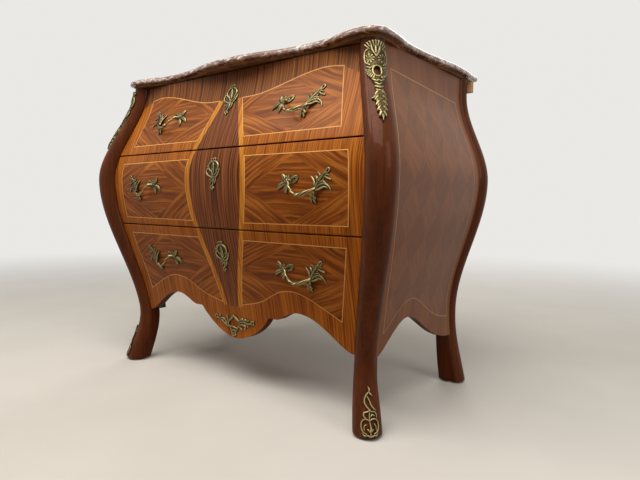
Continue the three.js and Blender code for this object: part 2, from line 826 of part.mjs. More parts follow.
function bottomBoard() {
  const top = boardHeight + boardThickness;
  const wide = insideHalf(boardHeight, top);
  const frontHalf = narrowest(boardHeight, top, postInnerX) - seatGap;
  const rearHalf = narrowest(boardHeight, top, rearInnerX) - seatGap;
  const front = hindmostInner(boardHeight, top) + railClearance;
  const rear = rearAxisDepth + backInset - seatGap;
  const right = [
    [frontHalf, front],
    [frontHalf, lowRunnerFront],
    [wide, lowRunnerFront],
    [wide, rearAxisDepth - postTail - seatGap],
    [rearHalf, rearAxisDepth - postTail - seatGap],
    [rearHalf, rear],
  ];
  const left = right.map(([x, y]) => [-x, y]).reverse();
  const geometry = new THREE.ExtrudeGeometry(shapeOf([...right, ...left]), {
    depth: boardThickness,
    bevelEnabled: false,
  });
  geometry.translate(0, 0, boardHeight);
  return solid(geometry);
}

function backPanel() {
  const edge = levels(boardHeight - backLip, caseTop).map((level) => [rearInnerX(level) - seatGap, level]);
  const left = edge.map(([across, up]) => [-across, up]).reverse();
  const front = rearAxisDepth + backInset;
  return prismAlongY(shapeOf([...edge, ...left]), front, front + backThickness);
}

// Stone top: a bowed front, ears over the posts and hollowed sides, with a moulded edge
function stoneOutline() {
  const axisX = postHalfSpan + frontSwing(caseTop);
  const axisY = -(frontAxisDepth + frontSwing(caseTop));
  const ear = noseRadius(caseTop) + earOverhang;
  const bowY = faceY(caseTop) - frontBowOverhang;
  const valleyY = faceY(caseTop) - frontValleyOverhang;
  const frontSide = sideX(caseTop, false);
  const rearSide = sideX(caseTop, true);
  const path = new THREE.Path();
  const easeTo = (fromX, fromY, toX, toY, alongX) => {
    const midX = (fromX + toX) / 2;
    const midY = (fromY + toY) / 2;
    if (alongX) {
      path.bezierCurveTo(midX, fromY, midX, toY, toX, toY);
    } else {
      path.bezierCurveTo(fromX, midY, toX, midY, toX, toY);
    }
  };
  const valleyX = (frontSide + rearSide) / 2 + sideValleyOverhang;
  const bowX = rearSide + sideBowOverhang;
  const cornerY = stoneRear + coveInset + cutOverrun;
  path.moveTo(0, bowY);
  easeTo(0, bowY, frontValleyReach, valleyY, true);
  easeTo(frontValleyReach, valleyY, axisX, axisY - ear, true);
  path.absarc(axisX, axisY, ear, -Math.PI / 2, 0, false);
  easeTo(axisX + ear, axisY, valleyX, -sideValleyOffset, false);
  easeTo(valleyX, -sideValleyOffset, bowX, sideBowOffset, false);
  easeTo(bowX, sideBowOffset, rearSide + rearCornerOverhang, cornerY, false);
  const right = path.getPoints(curveSteps);
  const distinct = right.filter((point, i) => i === 0 || point.distanceTo(right[i - 1]) > seatGap);
  const left = distinct.slice(1).map((point) => new THREE.Vector2(-point.x, point.y)).reverse();
  return [...distinct, ...left];
}

function stoneEdge() {
  const edge = [];
  for (let i = 0; i <= edgeSteps; i += 1) {
    const angle = (Math.PI / 2) * (i / edgeSteps);
    edge.push([listelInset + (coveInset - listelInset) * Math.cos(angle), coveHeight * Math.sin(angle)]);
  }
  const shoulderHeight = coveHeight + noseHeight;
  for (let i = 0; i <= edgeSteps; i += 1) {
    const angle = (Math.PI / 2) * (i / edgeSteps);
    const rise = (stoneThickness - shoulderHeight) * Math.sin(angle);
    edge.push([noseInset * (1 - Math.cos(angle)), shoulderHeight + rise]);
  }
  return edge;
}

function stoneTop() {
  const outline = stoneOutline();
  const normals = outline.map((point, i) => {
    const before = outline[(i + outline.length - 1) % outline.length];
    const after = outline[(i + 1) % outline.length];
    const along = after.clone().sub(before).normalize();
    return new THREE.Vector2(along.y, -along.x);
  });
  const seat = caseTop + seatGap;
  const rings = stoneEdge().map(([inset, rise]) => outline.map((point, i) => new THREE.Vector3(
    point.x - normals[i].x * inset,
    point.y - normals[i].y * inset,
    seat + rise,
  )));
  const reach = postHalfSpan + bellySwing;
  const top = seat + stoneThickness;
  const behind = box(-reach, reach, stoneRear, stoneRear + reach, seat - cutOverrun, top + cutOverrun);
  return loft(rings).subtract(behind);
}

// Glides under the feet and spacers that keep the top off the wall
function glide(side, rear) {
  const thickness = glideThickness - seatGap;
  const geometry = new THREE.CylinderGeometry(glideRadius, glideRadius, thickness, 2 * curveSteps);
  geometry.rotateX(Math.PI / 2);
  const swing = rear ? rearFootSwing : footSwing;
  const y = rear ? rearAxisDepth - glideSetback : -(frontAxisDepth + footSwing);
  geometry.translate(side * (postHalfSpan + swing), y, thickness / 2);
  return solid(geometry);
}

function wallSpacer(side) {
  const outer = postHalfSpan + rearSwing(caseTop) + noseRadius(caseTop) + spacerOverhang;
  const xEnds = [side * outer, side * (outer - spacerWidth)];
  const front = rearAxisDepth + rearFlat + seatGap;
  const top = caseTop - spacerDrop;
  return box(Math.min(...xEnds), Math.max(...xEnds), front, front + spacerDepth, top - spacerHeight, top);
}

// The three drawers, from the rails and the board that carry them
const upperRailUnder = upperGapHeight - railThickness;
const lowerRailUnder = lowerGapHeight - railThickness;
const topRailUnder = caseTop - topRailThickness;
const boardTop = boardHeight + boardThickness;
const lowRunnerTop = boardTop + lowRunnerThickness;
const railFront = (under, thickness) => hindmostInner(under, under + thickness) + railClearance;
const behindRail = (under) => railFront(under, railThickness) + railDepth + seatGap;

function drawerOf(sizes) {
  const boxTop = sizes.railUnder - boxTopClearance;
  const escutcheonTop = sizes.to - sizes.escutcheonDrop;
  return {
    ...sizes,
    boxTop,
    half: betweenPosts(sizes.floor, boxTop) - boxSideClearance,
    lockTop: sizes.railUnder - lockHeadroom,
    escutcheonTop,
    keyHeight: escutcheonTop - keyDrop,
    handleHeight: sizes.to - sizes.handleDrop,
  };
}

const upperDrawer = drawerOf({
  name: 'upper',
  from: upperGapHeight + drawerGap / 2,
  to: caseTop - topReveal,
  hasApron: false,
  floor: upperGapHeight + runningGap,
  railUnder: topRailUnder,
  escutcheonDrop: upperEscutcheonDrop,
  handleDrop: upperHandleDrop,
  handleOffset: upperHandleOffset,
  runnerUnder: upperRailUnder,
  runnerTop: upperGapHeight,
  runnerFront: behindRail(upperRailUnder),
});
const middleDrawer = drawerOf({
  name: 'middle',
  from: lowerGapHeight + drawerGap / 2,
  to: upperGapHeight - drawerGap / 2,
  hasApron: false,
  floor: lowerGapHeight + runningGap,
  railUnder: upperRailUnder,
  escutcheonDrop: middleEscutcheonDrop,
  handleDrop: middleHandleDrop,
  handleOffset: middleHandleOffset,
  runnerUnder: lowerRailUnder,
  runnerTop: lowerGapHeight,
  runnerFront: behindRail(lowerRailUnder),
});
const lowerDrawer = drawerOf({
  name: 'lower',
  from: apronEndHeight,
  to: lowerGapHeight - drawerGap / 2,
  hasApron: true,
  floor: lowRunnerTop + runningGap,
  railUnder: lowerRailUnder,
  escutcheonDrop: lowerEscutcheonDrop,
  handleDrop: lowerHandleDrop,
  handleOffset: lowerHandleOffset,
  runnerUnder: boardTop + seatGap,
  runnerTop: lowRunnerTop,
  runnerFront: lowRunnerFront,
});

// The whole chest, piece by piece
const chest = new THREE.Group();
chest.name = 'commode_chest';

function place(name, body, surface) {
  const mesh = new THREE.Mesh(geometryOf(body), surface);
  mesh.name = name;
  chest.add(mesh);
}

place('marble_top', stoneTop(), stone());
for (const [sideName, side] of [['left', -1], ['right', 1]]) {
  place(`post_front_${sideName}`, post(side, false), mahogany());
  place(`post_back_${sideName}`, post(side, true), mahogany());
  place(`side_panel_${sideName}`, sidePanel(side), sideVeneer());
  place(`corner_mount_${sideName}`, cornerMount(side), brass());
  place(`foot_mount_${sideName}`, footMount(side), brass());
  place(`wall_spacer_${sideName}`, wallSpacer(side), softwood());
  place(`glide_front_${sideName}`, glide(side, false), glideMaterial());
  place(`glide_back_${sideName}`, glide(side, true), glideMaterial());
}
place('back_panel', backPanel(), plywood());
place('bottom_board', bottomBoard(), softwood());
place('top_rail_front', rail(topRailUnder, topRailThickness, topRailDepth, upperDrawer), softwood());
place('top_rail_back', rearTopRail(), softwood());
place('drawer_rail_upper', rail(upperRailUnder, railThickness, railDepth, middleDrawer), softwood());
place('drawer_rail_lower', rail(lowerRailUnder, railThickness, railDepth, lowerDrawer), softwood());

for (const drawer of [upperDrawer, middleDrawer, lowerDrawer]) {
  place(`drawer_front_${drawer.name}`, drawerFront(drawer), veneer());
  place(`drawer_back_${drawer.name}`, drawerBack(drawer), softwood());
  place(`drawer_bottom_${drawer.name}`, drawerBottomPanel(drawer), plywood());
  place(`escutcheon_${drawer.name}`, escutcheon(drawer), brass());
  place(`lock_case_${drawer.name}`, lockCase(drawer), steel());
  place(`lock_bolt_${drawer.name}`, boltBox(drawer, 0, 0), steel());
  for (const [sideName, side] of [['left', -1], ['right', 1]]) {
    place(`drawer_side_${drawer.name}_${sideName}`, drawerSide(drawer, side), softwood());
    place(`runner_${drawer.name}_${sideName}`, runner(side, drawer), softwood());
    place(`handle_${drawer.name}_${sideName}`, handle(drawer, side), brass());
  }
}
place('apron_mount', apronMount(), brass());

// The origin lies on the floor under the middle of the chest
const extent = new THREE.Box3().setFromObject(chest);
const middle = extent.getCenter(new THREE.Vector3());
for (const mesh of chest.children) {
  mesh.geometry.translate(-middle.x, -middle.y, -extent.min.z);
}

export default chest;
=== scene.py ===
import math

import bpy
import numpy as np
from mathutils import Matrix, Vector


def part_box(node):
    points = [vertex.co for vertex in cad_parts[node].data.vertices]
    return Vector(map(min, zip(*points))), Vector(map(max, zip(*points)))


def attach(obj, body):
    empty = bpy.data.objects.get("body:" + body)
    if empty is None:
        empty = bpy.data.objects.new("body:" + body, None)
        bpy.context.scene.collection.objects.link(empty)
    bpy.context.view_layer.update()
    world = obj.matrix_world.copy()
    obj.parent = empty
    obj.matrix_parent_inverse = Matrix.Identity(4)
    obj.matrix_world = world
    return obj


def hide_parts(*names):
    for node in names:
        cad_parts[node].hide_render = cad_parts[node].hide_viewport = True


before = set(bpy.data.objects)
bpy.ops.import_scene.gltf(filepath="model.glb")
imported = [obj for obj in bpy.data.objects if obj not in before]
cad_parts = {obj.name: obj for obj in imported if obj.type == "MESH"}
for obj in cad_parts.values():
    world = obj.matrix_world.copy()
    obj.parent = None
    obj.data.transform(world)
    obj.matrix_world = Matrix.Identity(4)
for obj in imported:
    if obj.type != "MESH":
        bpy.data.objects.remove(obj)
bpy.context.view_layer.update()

# Sizes of the case in millimetres, as in the CAD source, before its shift to the middle of the floor
CASE_TOP = 820.0
POST_HALF_SPAN = 399.0
FRONT_AXIS = 203.0
REAR_AXIS = 214.0
SEAT_GAP = 0.3
FACE_LEAD = 6.0
REAR_FLAT = 14.0
POST_TAIL = 50.0
LEG_TAIL = 26.0
SOLE = 4.0
FOOT_CHAMFER = 3.0
SIDE_LEAD = 16.0
SWELL_SHARES = (0.9, 1.08)
PANEL_THICKNESS = 16.0
PANEL_FOOT = 155.0
ARCH_CREST = 224.0
ARCH_OFFSET = 60.0
REAR_FOOT_DROP = 22.0
FRONT_THICKNESS = 22.0
LOWER_GAP = 419.0
UPPER_GAP = 617.0
HALF_GAP = 1.5
TOP_REVEAL = 2.5
END_CLEARANCE = 1.5
STONE_REAR = 275.0
STONE_THICKNESS = 20.0
HANDLE_SHARES = (0.25, 0.45)
DROP_SHARES = (0.8, 0.55, 0.35)

# Stations of the lines that the case follows: height, value, slope
FRONT_LINE = ((0, 23, -0.2), (165, 0, 0.12), (548, 74, 0), (820, 2, 0))
REAR_LINE = ((0, 26, -0.2), (215, 0, 0.03), (548, 68, 0), (775, 9, 0))
NOSE_LINE = ((0, 32, 0), (165, 24, 0), (548, 33, 0), (820, 26.5, 0))

# The two sides by name and direction
BOTH = (("left", -1), ("right", 1))

# How far the finished frame is shifted from those sizes
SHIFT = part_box("marble_top")[1].y * 1000 - STONE_REAR


def blend(stations, height):
    """A smooth line through stations that each give a height, a value and a slope."""
    height = np.asarray(height, float)
    line = np.full(height.shape, float(stations[0][1]))
    for (z0, v0, s0), (z1, v1, s1) in zip(stations, stations[1:]):
        t = np.clip((height - z0) / (z1 - z0), 0, 1)
        ease = v0 + (v1 - v0) * t * t * (3 - 2 * t)
        lean = (z1 - z0) * (t * (1 - t) ** 2 * s0 + t * t * (t - 1) * s1)
        line = np.where(height >= z0, ease + lean, line)
    return line


def swing(height, rear=False):
    return blend(REAR_LINE if rear else FRONT_LINE, height)


def nose(height):
    return blend(NOSE_LINE, height)


def nose_half(height):
    return np.sqrt(nose(height) ** 2 - FACE_LEAD**2)


def face_y(height):
    return -(FRONT_AXIS + swing(height) + FACE_LEAD) + SHIFT


def post_inner(height, rear=False):
    return POST_HALF_SPAN + swing(height, rear) - nose_half(height)


def side_x(height, rear):
    return POST_HALF_SPAN + SIDE_LEAD + SWELL_SHARES[int(rear)] * swing(height, rear)


def side_step(height, rear):
    return side_x(height, rear) - POST_HALF_SPAN - swing(height, rear)


def shoulder(height, rear):
    return np.sqrt(nose(height) ** 2 - side_step(height, rear) ** 2)


def panel_foot(rear):
    return PANEL_FOOT - (REAR_FOOT_DROP if rear else 0)


def bezier(p0, p1, p2, p3, count):
    t = np.linspace(0, 1, count)[:, None]
    p0, p1, p2, p3 = (np.array(p, float) for p in (p0, p1, p2, p3))
    return (1 - t) ** 3 * p0 + 3 * (1 - t) ** 2 * t * p1 + 3 * (1 - t) * t**2 * p2 + t**3 * p3


def swoop(start, stop, count, shares=HANDLE_SHARES):
    """A curve that leaves and arrives level, its handles being shares of its run."""
    run = stop[0] - start[0]
    leaving = (start[0] + run * shares[0], start[1])
    arriving = (stop[0] - run * shares[1], stop[1])
    return bezier(start, leaving, arriving, stop, count)


# Meshes


def dress(node, finish, body, slot, materials, points, faces, picks=None, values=None, smooth=40):
    """A piece that replaces a node, from points in millimetres. Picks give each face its material.

    The values are attributes with one entry for each point, and edges sharper than smooth stay sharp.
    """
    name = f"{node}_{finish}"
    mesh = bpy.data.meshes.new(name)
    mesh.from_pydata((np.asarray(points, float) / 1000).tolist(), [], faces)
    for material in materials:
        mesh.materials.append(material)
    if picks:
        mesh.polygons.foreach_set("material_index", np.asarray(picks, np.int32))
    for key, data in (values or {}).items():
        data = np.asarray(data, np.float32)
        kind = "FLOAT_VECTOR" if data.ndim == 2 else "FLOAT"
        layer = mesh.attributes.new(key, kind, "POINT")
        layer.data.foreach_set("vector" if data.ndim == 2 else "value", data.ravel())
    mesh.validate()
    mesh.shade_smooth()
    mesh.set_sharp_from_angle(angle=math.radians(smooth))
    piece = bpy.data.objects.new(name, mesh)
    bpy.context.scene.collection.objects.link(piece)
    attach(piece, body)
    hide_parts(node)


def grid_faces(rows, columns, closed=False):
    """Quads of a grid of points that run along the columns first."""
    index = np.arange(rows * columns).reshape(rows, columns)
    right = np.roll(index, -1, axis=1) if closed else index[:, 1:]
    left = index if closed else index[:, :-1]
    return np.stack([left[:-1], right[:-1], right[1:], left[1:]], axis=-1).reshape(-1, 4).tolist()


def outward(points, faces):
    """The points, and the faces turned so that they enclose a positive volume."""
    volume = 0.0
    for f in faces:
        for a, b in zip(f[1:-1], f[2:]):
            volume += np.dot(points[f[0]], np.cross(points[a], points[b]))
    return points, faces if volume > 0 else [f[::-1] for f in faces]


def skin(rings):
    """Points and faces of a closed skin through rings of points that all have the same count."""
    rings = np.asarray(rings, float)
    rows, columns = rings.shape[:2]
    faces = grid_faces(rows, columns, closed=True)
    faces.append(list(range(columns))[::-1])
    faces.append([(rows - 1) * columns + i for i in range(columns)])
    return outward(rings.reshape(-1, 3), faces)


def board(face, back, values):
    """Points, faces, picks and values of a board between two grids of points.

    The picks are 0 for the first grid's faces and 1 elsewhere, and the first grid's values serve for both.
    """
    rows, columns = face.shape[:2]
    count = rows * columns
    shown = grid_faces(rows, columns)
    faces = shown + [[i + count for i in quad[::-1]] for quad in shown]
    index = np.arange(count).reshape(rows, columns)
    border = [*index[0], *index[1:, -1], *index[-1, ::-1][1:], *index[::-1, 0][1:-1]]
    border = [int(i) for i in border]
    faces += [[b, a, a + count, b + count] for a, b in zip(border, border[1:] + border[:1])]
    points, faces = outward(np.vstack([face.reshape(-1, 3), back.reshape(-1, 3)]), faces)
    picks = [0] * len(shown) + [1] * (len(faces) - len(shown))
    return points, faces, picks, {key: np.concatenate([data, data]) for key, data in values.items()}


# Materials


def rgb(red, green, blue):
    """A colour written as on a screen, for the renderer."""
    shown = (red / 255, green / 255, blue / 255)
    linear = [c / 12.92 if c <= 0.04045 else ((c + 0.055) / 1.055) ** 2.4 for c in shown]
    return (*linear, 1.0)


class Graph:
    """The nodes of a material or a world, built from short calls."""

    def __init__(self, holder, shader, **sockets):
        self.holder = holder
        self.holder.use_nodes = True
        self.nodes = self.holder.node_tree.nodes
        self.links = self.holder.node_tree.links
        self.shader = self.nodes[shader]
        for key, value in sockets.items():
            self.shader.inputs[key.replace("_", " ")].default_value = value

    def put(self, kind, inputs=(), **settings):
        node = self.nodes.new(kind)
        for key, value in settings.items():
            setattr(node, key, value)
        for key, value in dict(inputs).items():
            self.set(node.inputs[key], value)
        return node

    def set(self, socket, value):
        if isinstance(value, bpy.types.NodeSocket):
            self.links.new(value, socket)
        else:
            socket.default_value = value

    def shade(self, key, value):
        self.set(self.shader.inputs[key], value)

    def math(self, operation, a, b=0.0, c=0.0):
        return self.put("ShaderNodeMath", {0: a, 1: b, 2: c}, operation=operation).outputs[0]

    def attribute(self, name):
        return self.put("ShaderNodeAttribute", attribute_name=name)

    def split(self, vector):
        node = self.put("ShaderNodeSeparateXYZ", {0: vector})
        return node.outputs[0], node.outputs[1], node.outputs[2]

    def join(self, x, y, z):
        return self.put("ShaderNodeCombineXYZ", {0: x, 1: y, 2: z}).outputs[0]

    def coordinates(self):
        return self.put("ShaderNodeTexCoord").outputs["Object"]

    def scaled(self, vector, x, y, z, turn=(0, 0, 0)):
        sockets = {"Vector": vector, "Scale": (x, y, z), "Rotation": turn}
        return self.put("ShaderNodeMapping", sockets).outputs[0]

    def noise(self, vector, scale=1.0, detail=3.0, roughness=0.5, distortion=0.0):
        sockets = {"Vector": vector, "Scale": scale, "Detail": detail}
        sockets.update({"Roughness": roughness, "Distortion": distortion})
        return self.put("ShaderNodeTexNoise", sockets).outputs[0]

    def ramp(self, value, *stops):
        node = self.put("ShaderNodeValToRGB", {0: value})
        band = node.color_ramp
        while len(band.elements) < len(stops):
            band.elements.new(0.5)
        for element, (place, colour) in zip(band.elements, stops):
            element.position = place
            element.color = colour
        return node.outputs[0]

    def mix(self, share, a, b):
        sockets = {0: share, 6: a, 7: b}
        return self.put("ShaderNodeMix", sockets, data_type="RGBA", clamp_factor=True).outputs[2]

    def below(self, value, limit=0.0, soft=0.0003):
        """1 where a value lies under a limit, with a soft edge."""
        sockets = {0: value, 1: limit - soft, 2: limit + soft, 3: 1.0, 4: 0.0}
        return self.put("ShaderNodeMapRange", sockets, interpolation_type="SMOOTHSTEP").outputs[0]

    def bump(self, height, strength, distance):
        sockets = {"Height": height, "Strength": strength, "Distance": distance}
        return self.put("ShaderNodeBump", sockets).outputs[0]


def surface(name, **sockets):
    return Graph(bpy.data.materials.new(name), "Principled BSDF", **sockets)


def lacquer(roughness, level, tint, coat, coat_roughness):
    """The sockets of a wood with a thin coat and a warm reflection."""
    sockets = {"Roughness": roughness, "Specular_IOR_Level": level, "Specular_Tint": (1.0, *tint, 1.0)}
    return {**sockets, "Coat_Weight": coat, "Coat_Roughness": coat_roughness}


SATIN = lacquer(0.4, 0.3, (0.62, 0.38), 0.12, 0.25)
POLISH = lacquer(0.4, 0.22, (0.4, 0.1), 0.06, 0.15)
GLOSSY = lacquer(0.5, 0.15, (0.4, 0.15), 0.13, 0.07)
PLANED = {"Roughness": 0.68}

# In metres: the depth of the grain, half a light string, half the vase's seam, and the shade round a keyhole
GRAIN_DEPTH = 0.0002
STRING_HALF = 0.0009
SEAM_HALF = 0.0006
KEY_SHADE = 0.006

# How far the lozenges of the fronts reach towards their panels' sides
LOZENGE_EDGE = 0.93


def grain(g, vector, fine, dark, light, streak=0.5, spread=0.16):
    """The colour of straight grained wood and its fine lines, which run along the third axis."""
    broad = g.noise(g.scaled(vector, 45, 45, 2.2), detail=2.0)
    lines = g.noise(g.scaled(vector, fine, fine, 5), detail=4.0, roughness=0.65)
    value = g.math("MULTIPLY_ADD", lines, 1 - streak, g.math("MULTIPLY", broad, streak))
    return g.ramp(value, (0.5 - spread, dark), (0.5 + spread, light)), lines


def wood(name, dark, light, fine, sockets, turn=(0, 0, 0)):
    """Plain straight grained wood, polished or planed."""
    g = surface(name, **sockets)
    vector = g.scaled(g.coordinates(), 1, 1, 1, turn)
    colour, lines = grain(g, vector, fine, dark, light)
    cloud = g.noise(g.coordinates(), 7.0, 2.0)
    colour = g.mix(g.math("MULTIPLY", cloud, 0.35), colour, dark)
    g.shade("Base Color", colour)
    g.shade("Normal", g.bump(lines, 0.12, GRAIN_DEPTH))
    return g.holder


def front_veneer():
    """The fronts: cross banding, a dark vase with a light edging, quartered panels inside light strings."""
    g = surface("front_marquetry", **POLISH)
    x, _, z = g.split(g.coordinates())
    upright = g.join(x, 0.0, z)
    tone, vase, edge = g.split(g.attribute("zones").outputs["Vector"])
    across, along, diamond = g.split(g.attribute("panel").outputs["Vector"])
    u, v, seed = g.split(g.attribute("figure").outputs["Vector"])

    band, band_lines = grain(g, upright, 230, rgb(112, 50, 7), rgb(184, 108, 30), 0.25, 0.09)
    fine = g.noise(g.scaled(upright, 300, 1, 1.6), detail=3.0, roughness=0.7)
    brown = g.ramp(fine, (0.4, rgb(66, 32, 10)), (0.5, rgb(112, 62, 24)), (0.6, rgb(146, 90, 42)))
    colour = g.mix(g.below(tone), brown, band)

    gold, _ = grain(g, upright, 240, rgb(158, 88, 16), rgb(218, 148, 52), 0.25, 0.1)
    colour = g.mix(g.below(edge), colour, gold)

    # the vase: dark straight stripes, mirrored at its middle
    half = g.math("ABSOLUTE", x)
    stripes = g.noise(g.scaled(g.join(half, 0.0, z), 250, 1, 3), detail=3.0, roughness=0.65)
    rose = g.ramp(stripes, (0.4, rgb(58, 24, 8)), (0.5, rgb(102, 52, 20)), (0.6, rgb(144, 84, 42)))
    seam = g.below(half, SEAM_HALF, 0.0004)
    rose = g.mix(g.math("MULTIPLY", seam, 0.7), rose, rgb(28, 12, 8))
    colour = g.mix(g.below(vase), colour, rose)

    # the panels: a lozenge with level stripes between four corners whose stripes follow its sides
    warp = g.noise(g.join(u, v, 0.3), 9.0, 2.0)
    wave = g.math("MULTIPLY_ADD", warp, 0.024, -0.012)
    level = g.math("ADD", v, wave)
    inner = g.noise(g.scaled(g.join(u, level, 0.0), 4, 110, 1), detail=4.0, roughness=0.6)
    sloped = g.math("ADD", diamond, g.math("MULTIPLY", wave, 8.0))
    run = g.math("SUBTRACT", g.math("ABSOLUTE", u), g.math("ABSOLUTE", v))
    outer = g.noise(g.scaled(g.join(sloped, run, seed), 9, 5, 1), detail=4.0, roughness=0.6)
    centre = g.below(diamond, LOZENGE_EDGE, 0.01)
    figure = g.mix(centre, outer, inner)
    pores = g.noise(g.scaled(g.join(u, v, 0.0), 60, 700, 1), detail=2.0)
    figured = g.ramp(figure, (0.36, rgb(94, 44, 8)), (0.5, rgb(138, 73, 19)), (0.64, rgb(184, 112, 42)))
    figured = g.mix(g.math("MULTIPLY", pores, 0.3), figured, rgb(92, 44, 14))
    reach = g.math("MAXIMUM", across, along)
    colour = g.mix(g.below(reach), colour, figured)

    string = g.below(g.math("ABSOLUTE", reach), STRING_HALF)
    colour = g.mix(string, colour, rgb(228, 172, 98))
    colour = g.mix(g.below(g.attribute("key").outputs["Fac"], KEY_SHADE), colour, rgb(14, 8, 4))
    g.shade("Base Color", colour)
    g.shade("Normal", g.bump(band_lines, 0.08, GRAIN_DEPTH))
    return g.holder


def side_veneer():
    """The sides: parquetry of lozenges inside a light string, with banding round it."""
    g = surface("side_marquetry", **SATIN)
    _, y, z = g.split(g.coordinates())
    upright = g.join(y, 0.0, z)
    string = g.attribute("string").outputs["Fac"]
    u, v, _ = g.split(g.attribute("figure").outputs["Vector"])
    rising = g.math("ADD", u, v)
    falling = g.math("SUBTRACT", u, v)
    cell = g.math("FLOORED_MODULO", g.math("ADD", g.math("FLOOR", rising), g.math("FLOOR", falling)), 2.0)
    turned = g.noise(g.scaled(g.join(rising, falling, 0.0), 26, 1.2, 1), detail=3.0, roughness=0.6)
    crossed = g.noise(g.scaled(g.join(rising, falling, 0.0), 1.2, 26, 1), detail=3.0, roughness=0.6)
    value = g.mix(cell, turned, crossed)
    colour = g.ramp(value, (0.3, rgb(104, 59, 30)), (0.7, rgb(150, 92, 51)))
    shade = g.mix(cell, colour, g.mix(0.3, colour, rgb(78, 40, 20)))
    banding, lines = grain(g, upright, 480, rgb(96, 46, 14), rgb(148, 86, 38), 0.45)
    low = g.noise(g.scaled(upright, 4, 1, 4), detail=1.0)
    colour = g.mix(g.below(string), banding, shade)
    thread = g.below(g.math("ABSOLUTE", string), STRING_HALF)
    colour = g.mix(thread, colour, rgb(196, 148, 98))
    g.shade("Base Color", g.mix(g.math("MULTIPLY", low, 0.12), colour, rgb(60, 30, 18)))
    g.shade("Normal", g.bump(lines, 0.06, GRAIN_DEPTH))
    return g.holder


def marble():
    g = surface("marble", Roughness=0.22, Coat_Weight=0.3, Coat_Roughness=0.05)
    place = g.coordinates()
    warp = g.noise(place, 9.0, 5.0, 0.6, 1.2)
    cloud = g.noise(g.scaled(place, 1, 1, 2.0), 38.0, 6.0, 0.62, 1.4)
    colour = g.ramp(
        cloud,
        (0.3, rgb(74, 42, 30)),
        (0.43, rgb(122, 78, 60)),
        (0.51, rgb(140, 102, 84)),
        (0.56, rgb(200, 188, 174)),
        (0.66, rgb(236, 231, 224)),
    )
    cells = g.put("ShaderNodeTexVoronoi", {"Vector": place, "Scale": 34.0}, feature="DISTANCE_TO_EDGE")
    vein = g.below(g.math("ADD", cells.outputs["Distance"], g.math("MULTIPLY", warp, 0.05)), 0.045, 0.02)
    colour = g.mix(g.math("MULTIPLY", vein, 0.7), colour, rgb(96, 56, 44))
    grey = g.below(warp, 0.44, 0.05)
    colour = g.mix(g.math("MULTIPLY", grey, 0.35), colour, rgb(150, 144, 138))
    g.shade("Base Color", colour)
    g.shade("Normal", g.bump(cloud, 0.05, 0.0003))
    return g.holder


# The stone's underside and the cove under its lip: a dull, darker brown, partly the stone's own colour there
# and partly painted shade under the overhang
def stone_under_and_shade():
    g = surface("marble_underside_and_shade", Roughness=0.7)
    cloud = g.noise(g.coordinates(), 40.0, 6.0, 0.65)
    g.shade("Base Color", g.ramp(cloud, (0.35, rgb(84, 58, 32)), (0.65, rgb(150, 116, 78))))
    g.shade("Normal", g.bump(cloud, 0.4, 0.0008))
    return g.holder


def brass():
    """Aged cast brass, light on its ridges, dark in its hollows and at its rim: wear and grime, with painted
    highlight and shade.
    """
    g = surface("cast_brass", Metallic=1.0, Roughness=0.36)
    relief = g.attribute("relief").outputs["Fac"]
    grime = g.noise(g.coordinates(), 260.0, 4.0, 0.6)
    # the relief value: grime and painted shade in the hollows and at the rim, wear and painted highlight on
    # the ridges
    value = g.math("MULTIPLY_ADD", grime, 0.35, g.math("SUBTRACT", relief, 0.17))
    colour = g.ramp(value, (0.2, rgb(12, 9, 5)), (0.48, rgb(60, 51, 29)), (0.82, rgb(166, 152, 108)))
    g.shade("Base Color", colour)
    g.shade("Roughness", g.math("MULTIPLY_ADD", relief, -0.18, 0.52))
    g.shade("Normal", g.bump(grime, 0.25, 0.0005))
    return g.holder


def steel():
    g = surface("dull_steel", Metallic=0.9, Roughness=0.45)
    brushed = g.noise(g.scaled(g.coordinates(), 900, 900, 20), detail=3.0)
    g.shade("Base Color", g.ramp(brushed, (0.3, rgb(110, 106, 100)), (0.7, rgb(160, 157, 150))))
    g.shade("Roughness", g.math("MULTIPLY_ADD", brushed, 0.2, 0.35))
    return g.holder


def plastic():
    g = surface("pale_plastic", Roughness=0.5)
    speck = g.noise(g.coordinates(), 500.0, 2.0)
    g.shade("Base Color", g.ramp(speck, (0.3, rgb(206, 200, 186)), (0.7, rgb(224, 219, 207))))
    g.shade("Normal", g.bump(speck, 0.2, 0.0002))
    return g.holder


# The turns that lay a grain across the chest and from its front to its back
ACROSS = (0, math.pi / 2, 0)
BACKWARDS = (math.pi / 2, 0, 0)

MAHOGANY = wood("mahogany", rgb(56, 23, 6), rgb(104, 50, 18), 300, GLOSSY)
FRONTS = front_veneer()
SIDES = side_veneer()
DEAL = wood("planed_softwood", rgb(176, 132, 82), rgb(214, 174, 122), 160, PLANED, ACROSS)
DEAL_LONG = wood("planed_softwood_long", rgb(170, 126, 76), rgb(210, 168, 114), 160, PLANED, BACKWARDS)
PLY = wood("thin_board", rgb(158, 118, 72), rgb(196, 154, 104), 120, PLANED, ACROSS)
STONE = marble()
STONE_UNDER_AND_SHADE = stone_under_and_shade()
BRASS = brass()
STEEL = steel()
PLASTIC = plastic()


# Posts

# How far the round noses stay inside the solids' outline, whose facets cut their curve
NOSE_EASE = 0.3
POST_ARRIS = 3.0

# Points over a nose, and rings of points on a leg and on the post over it
NOSE_POINTS = 40
LEG_RINGS = 26
BODY_RINGS = 84


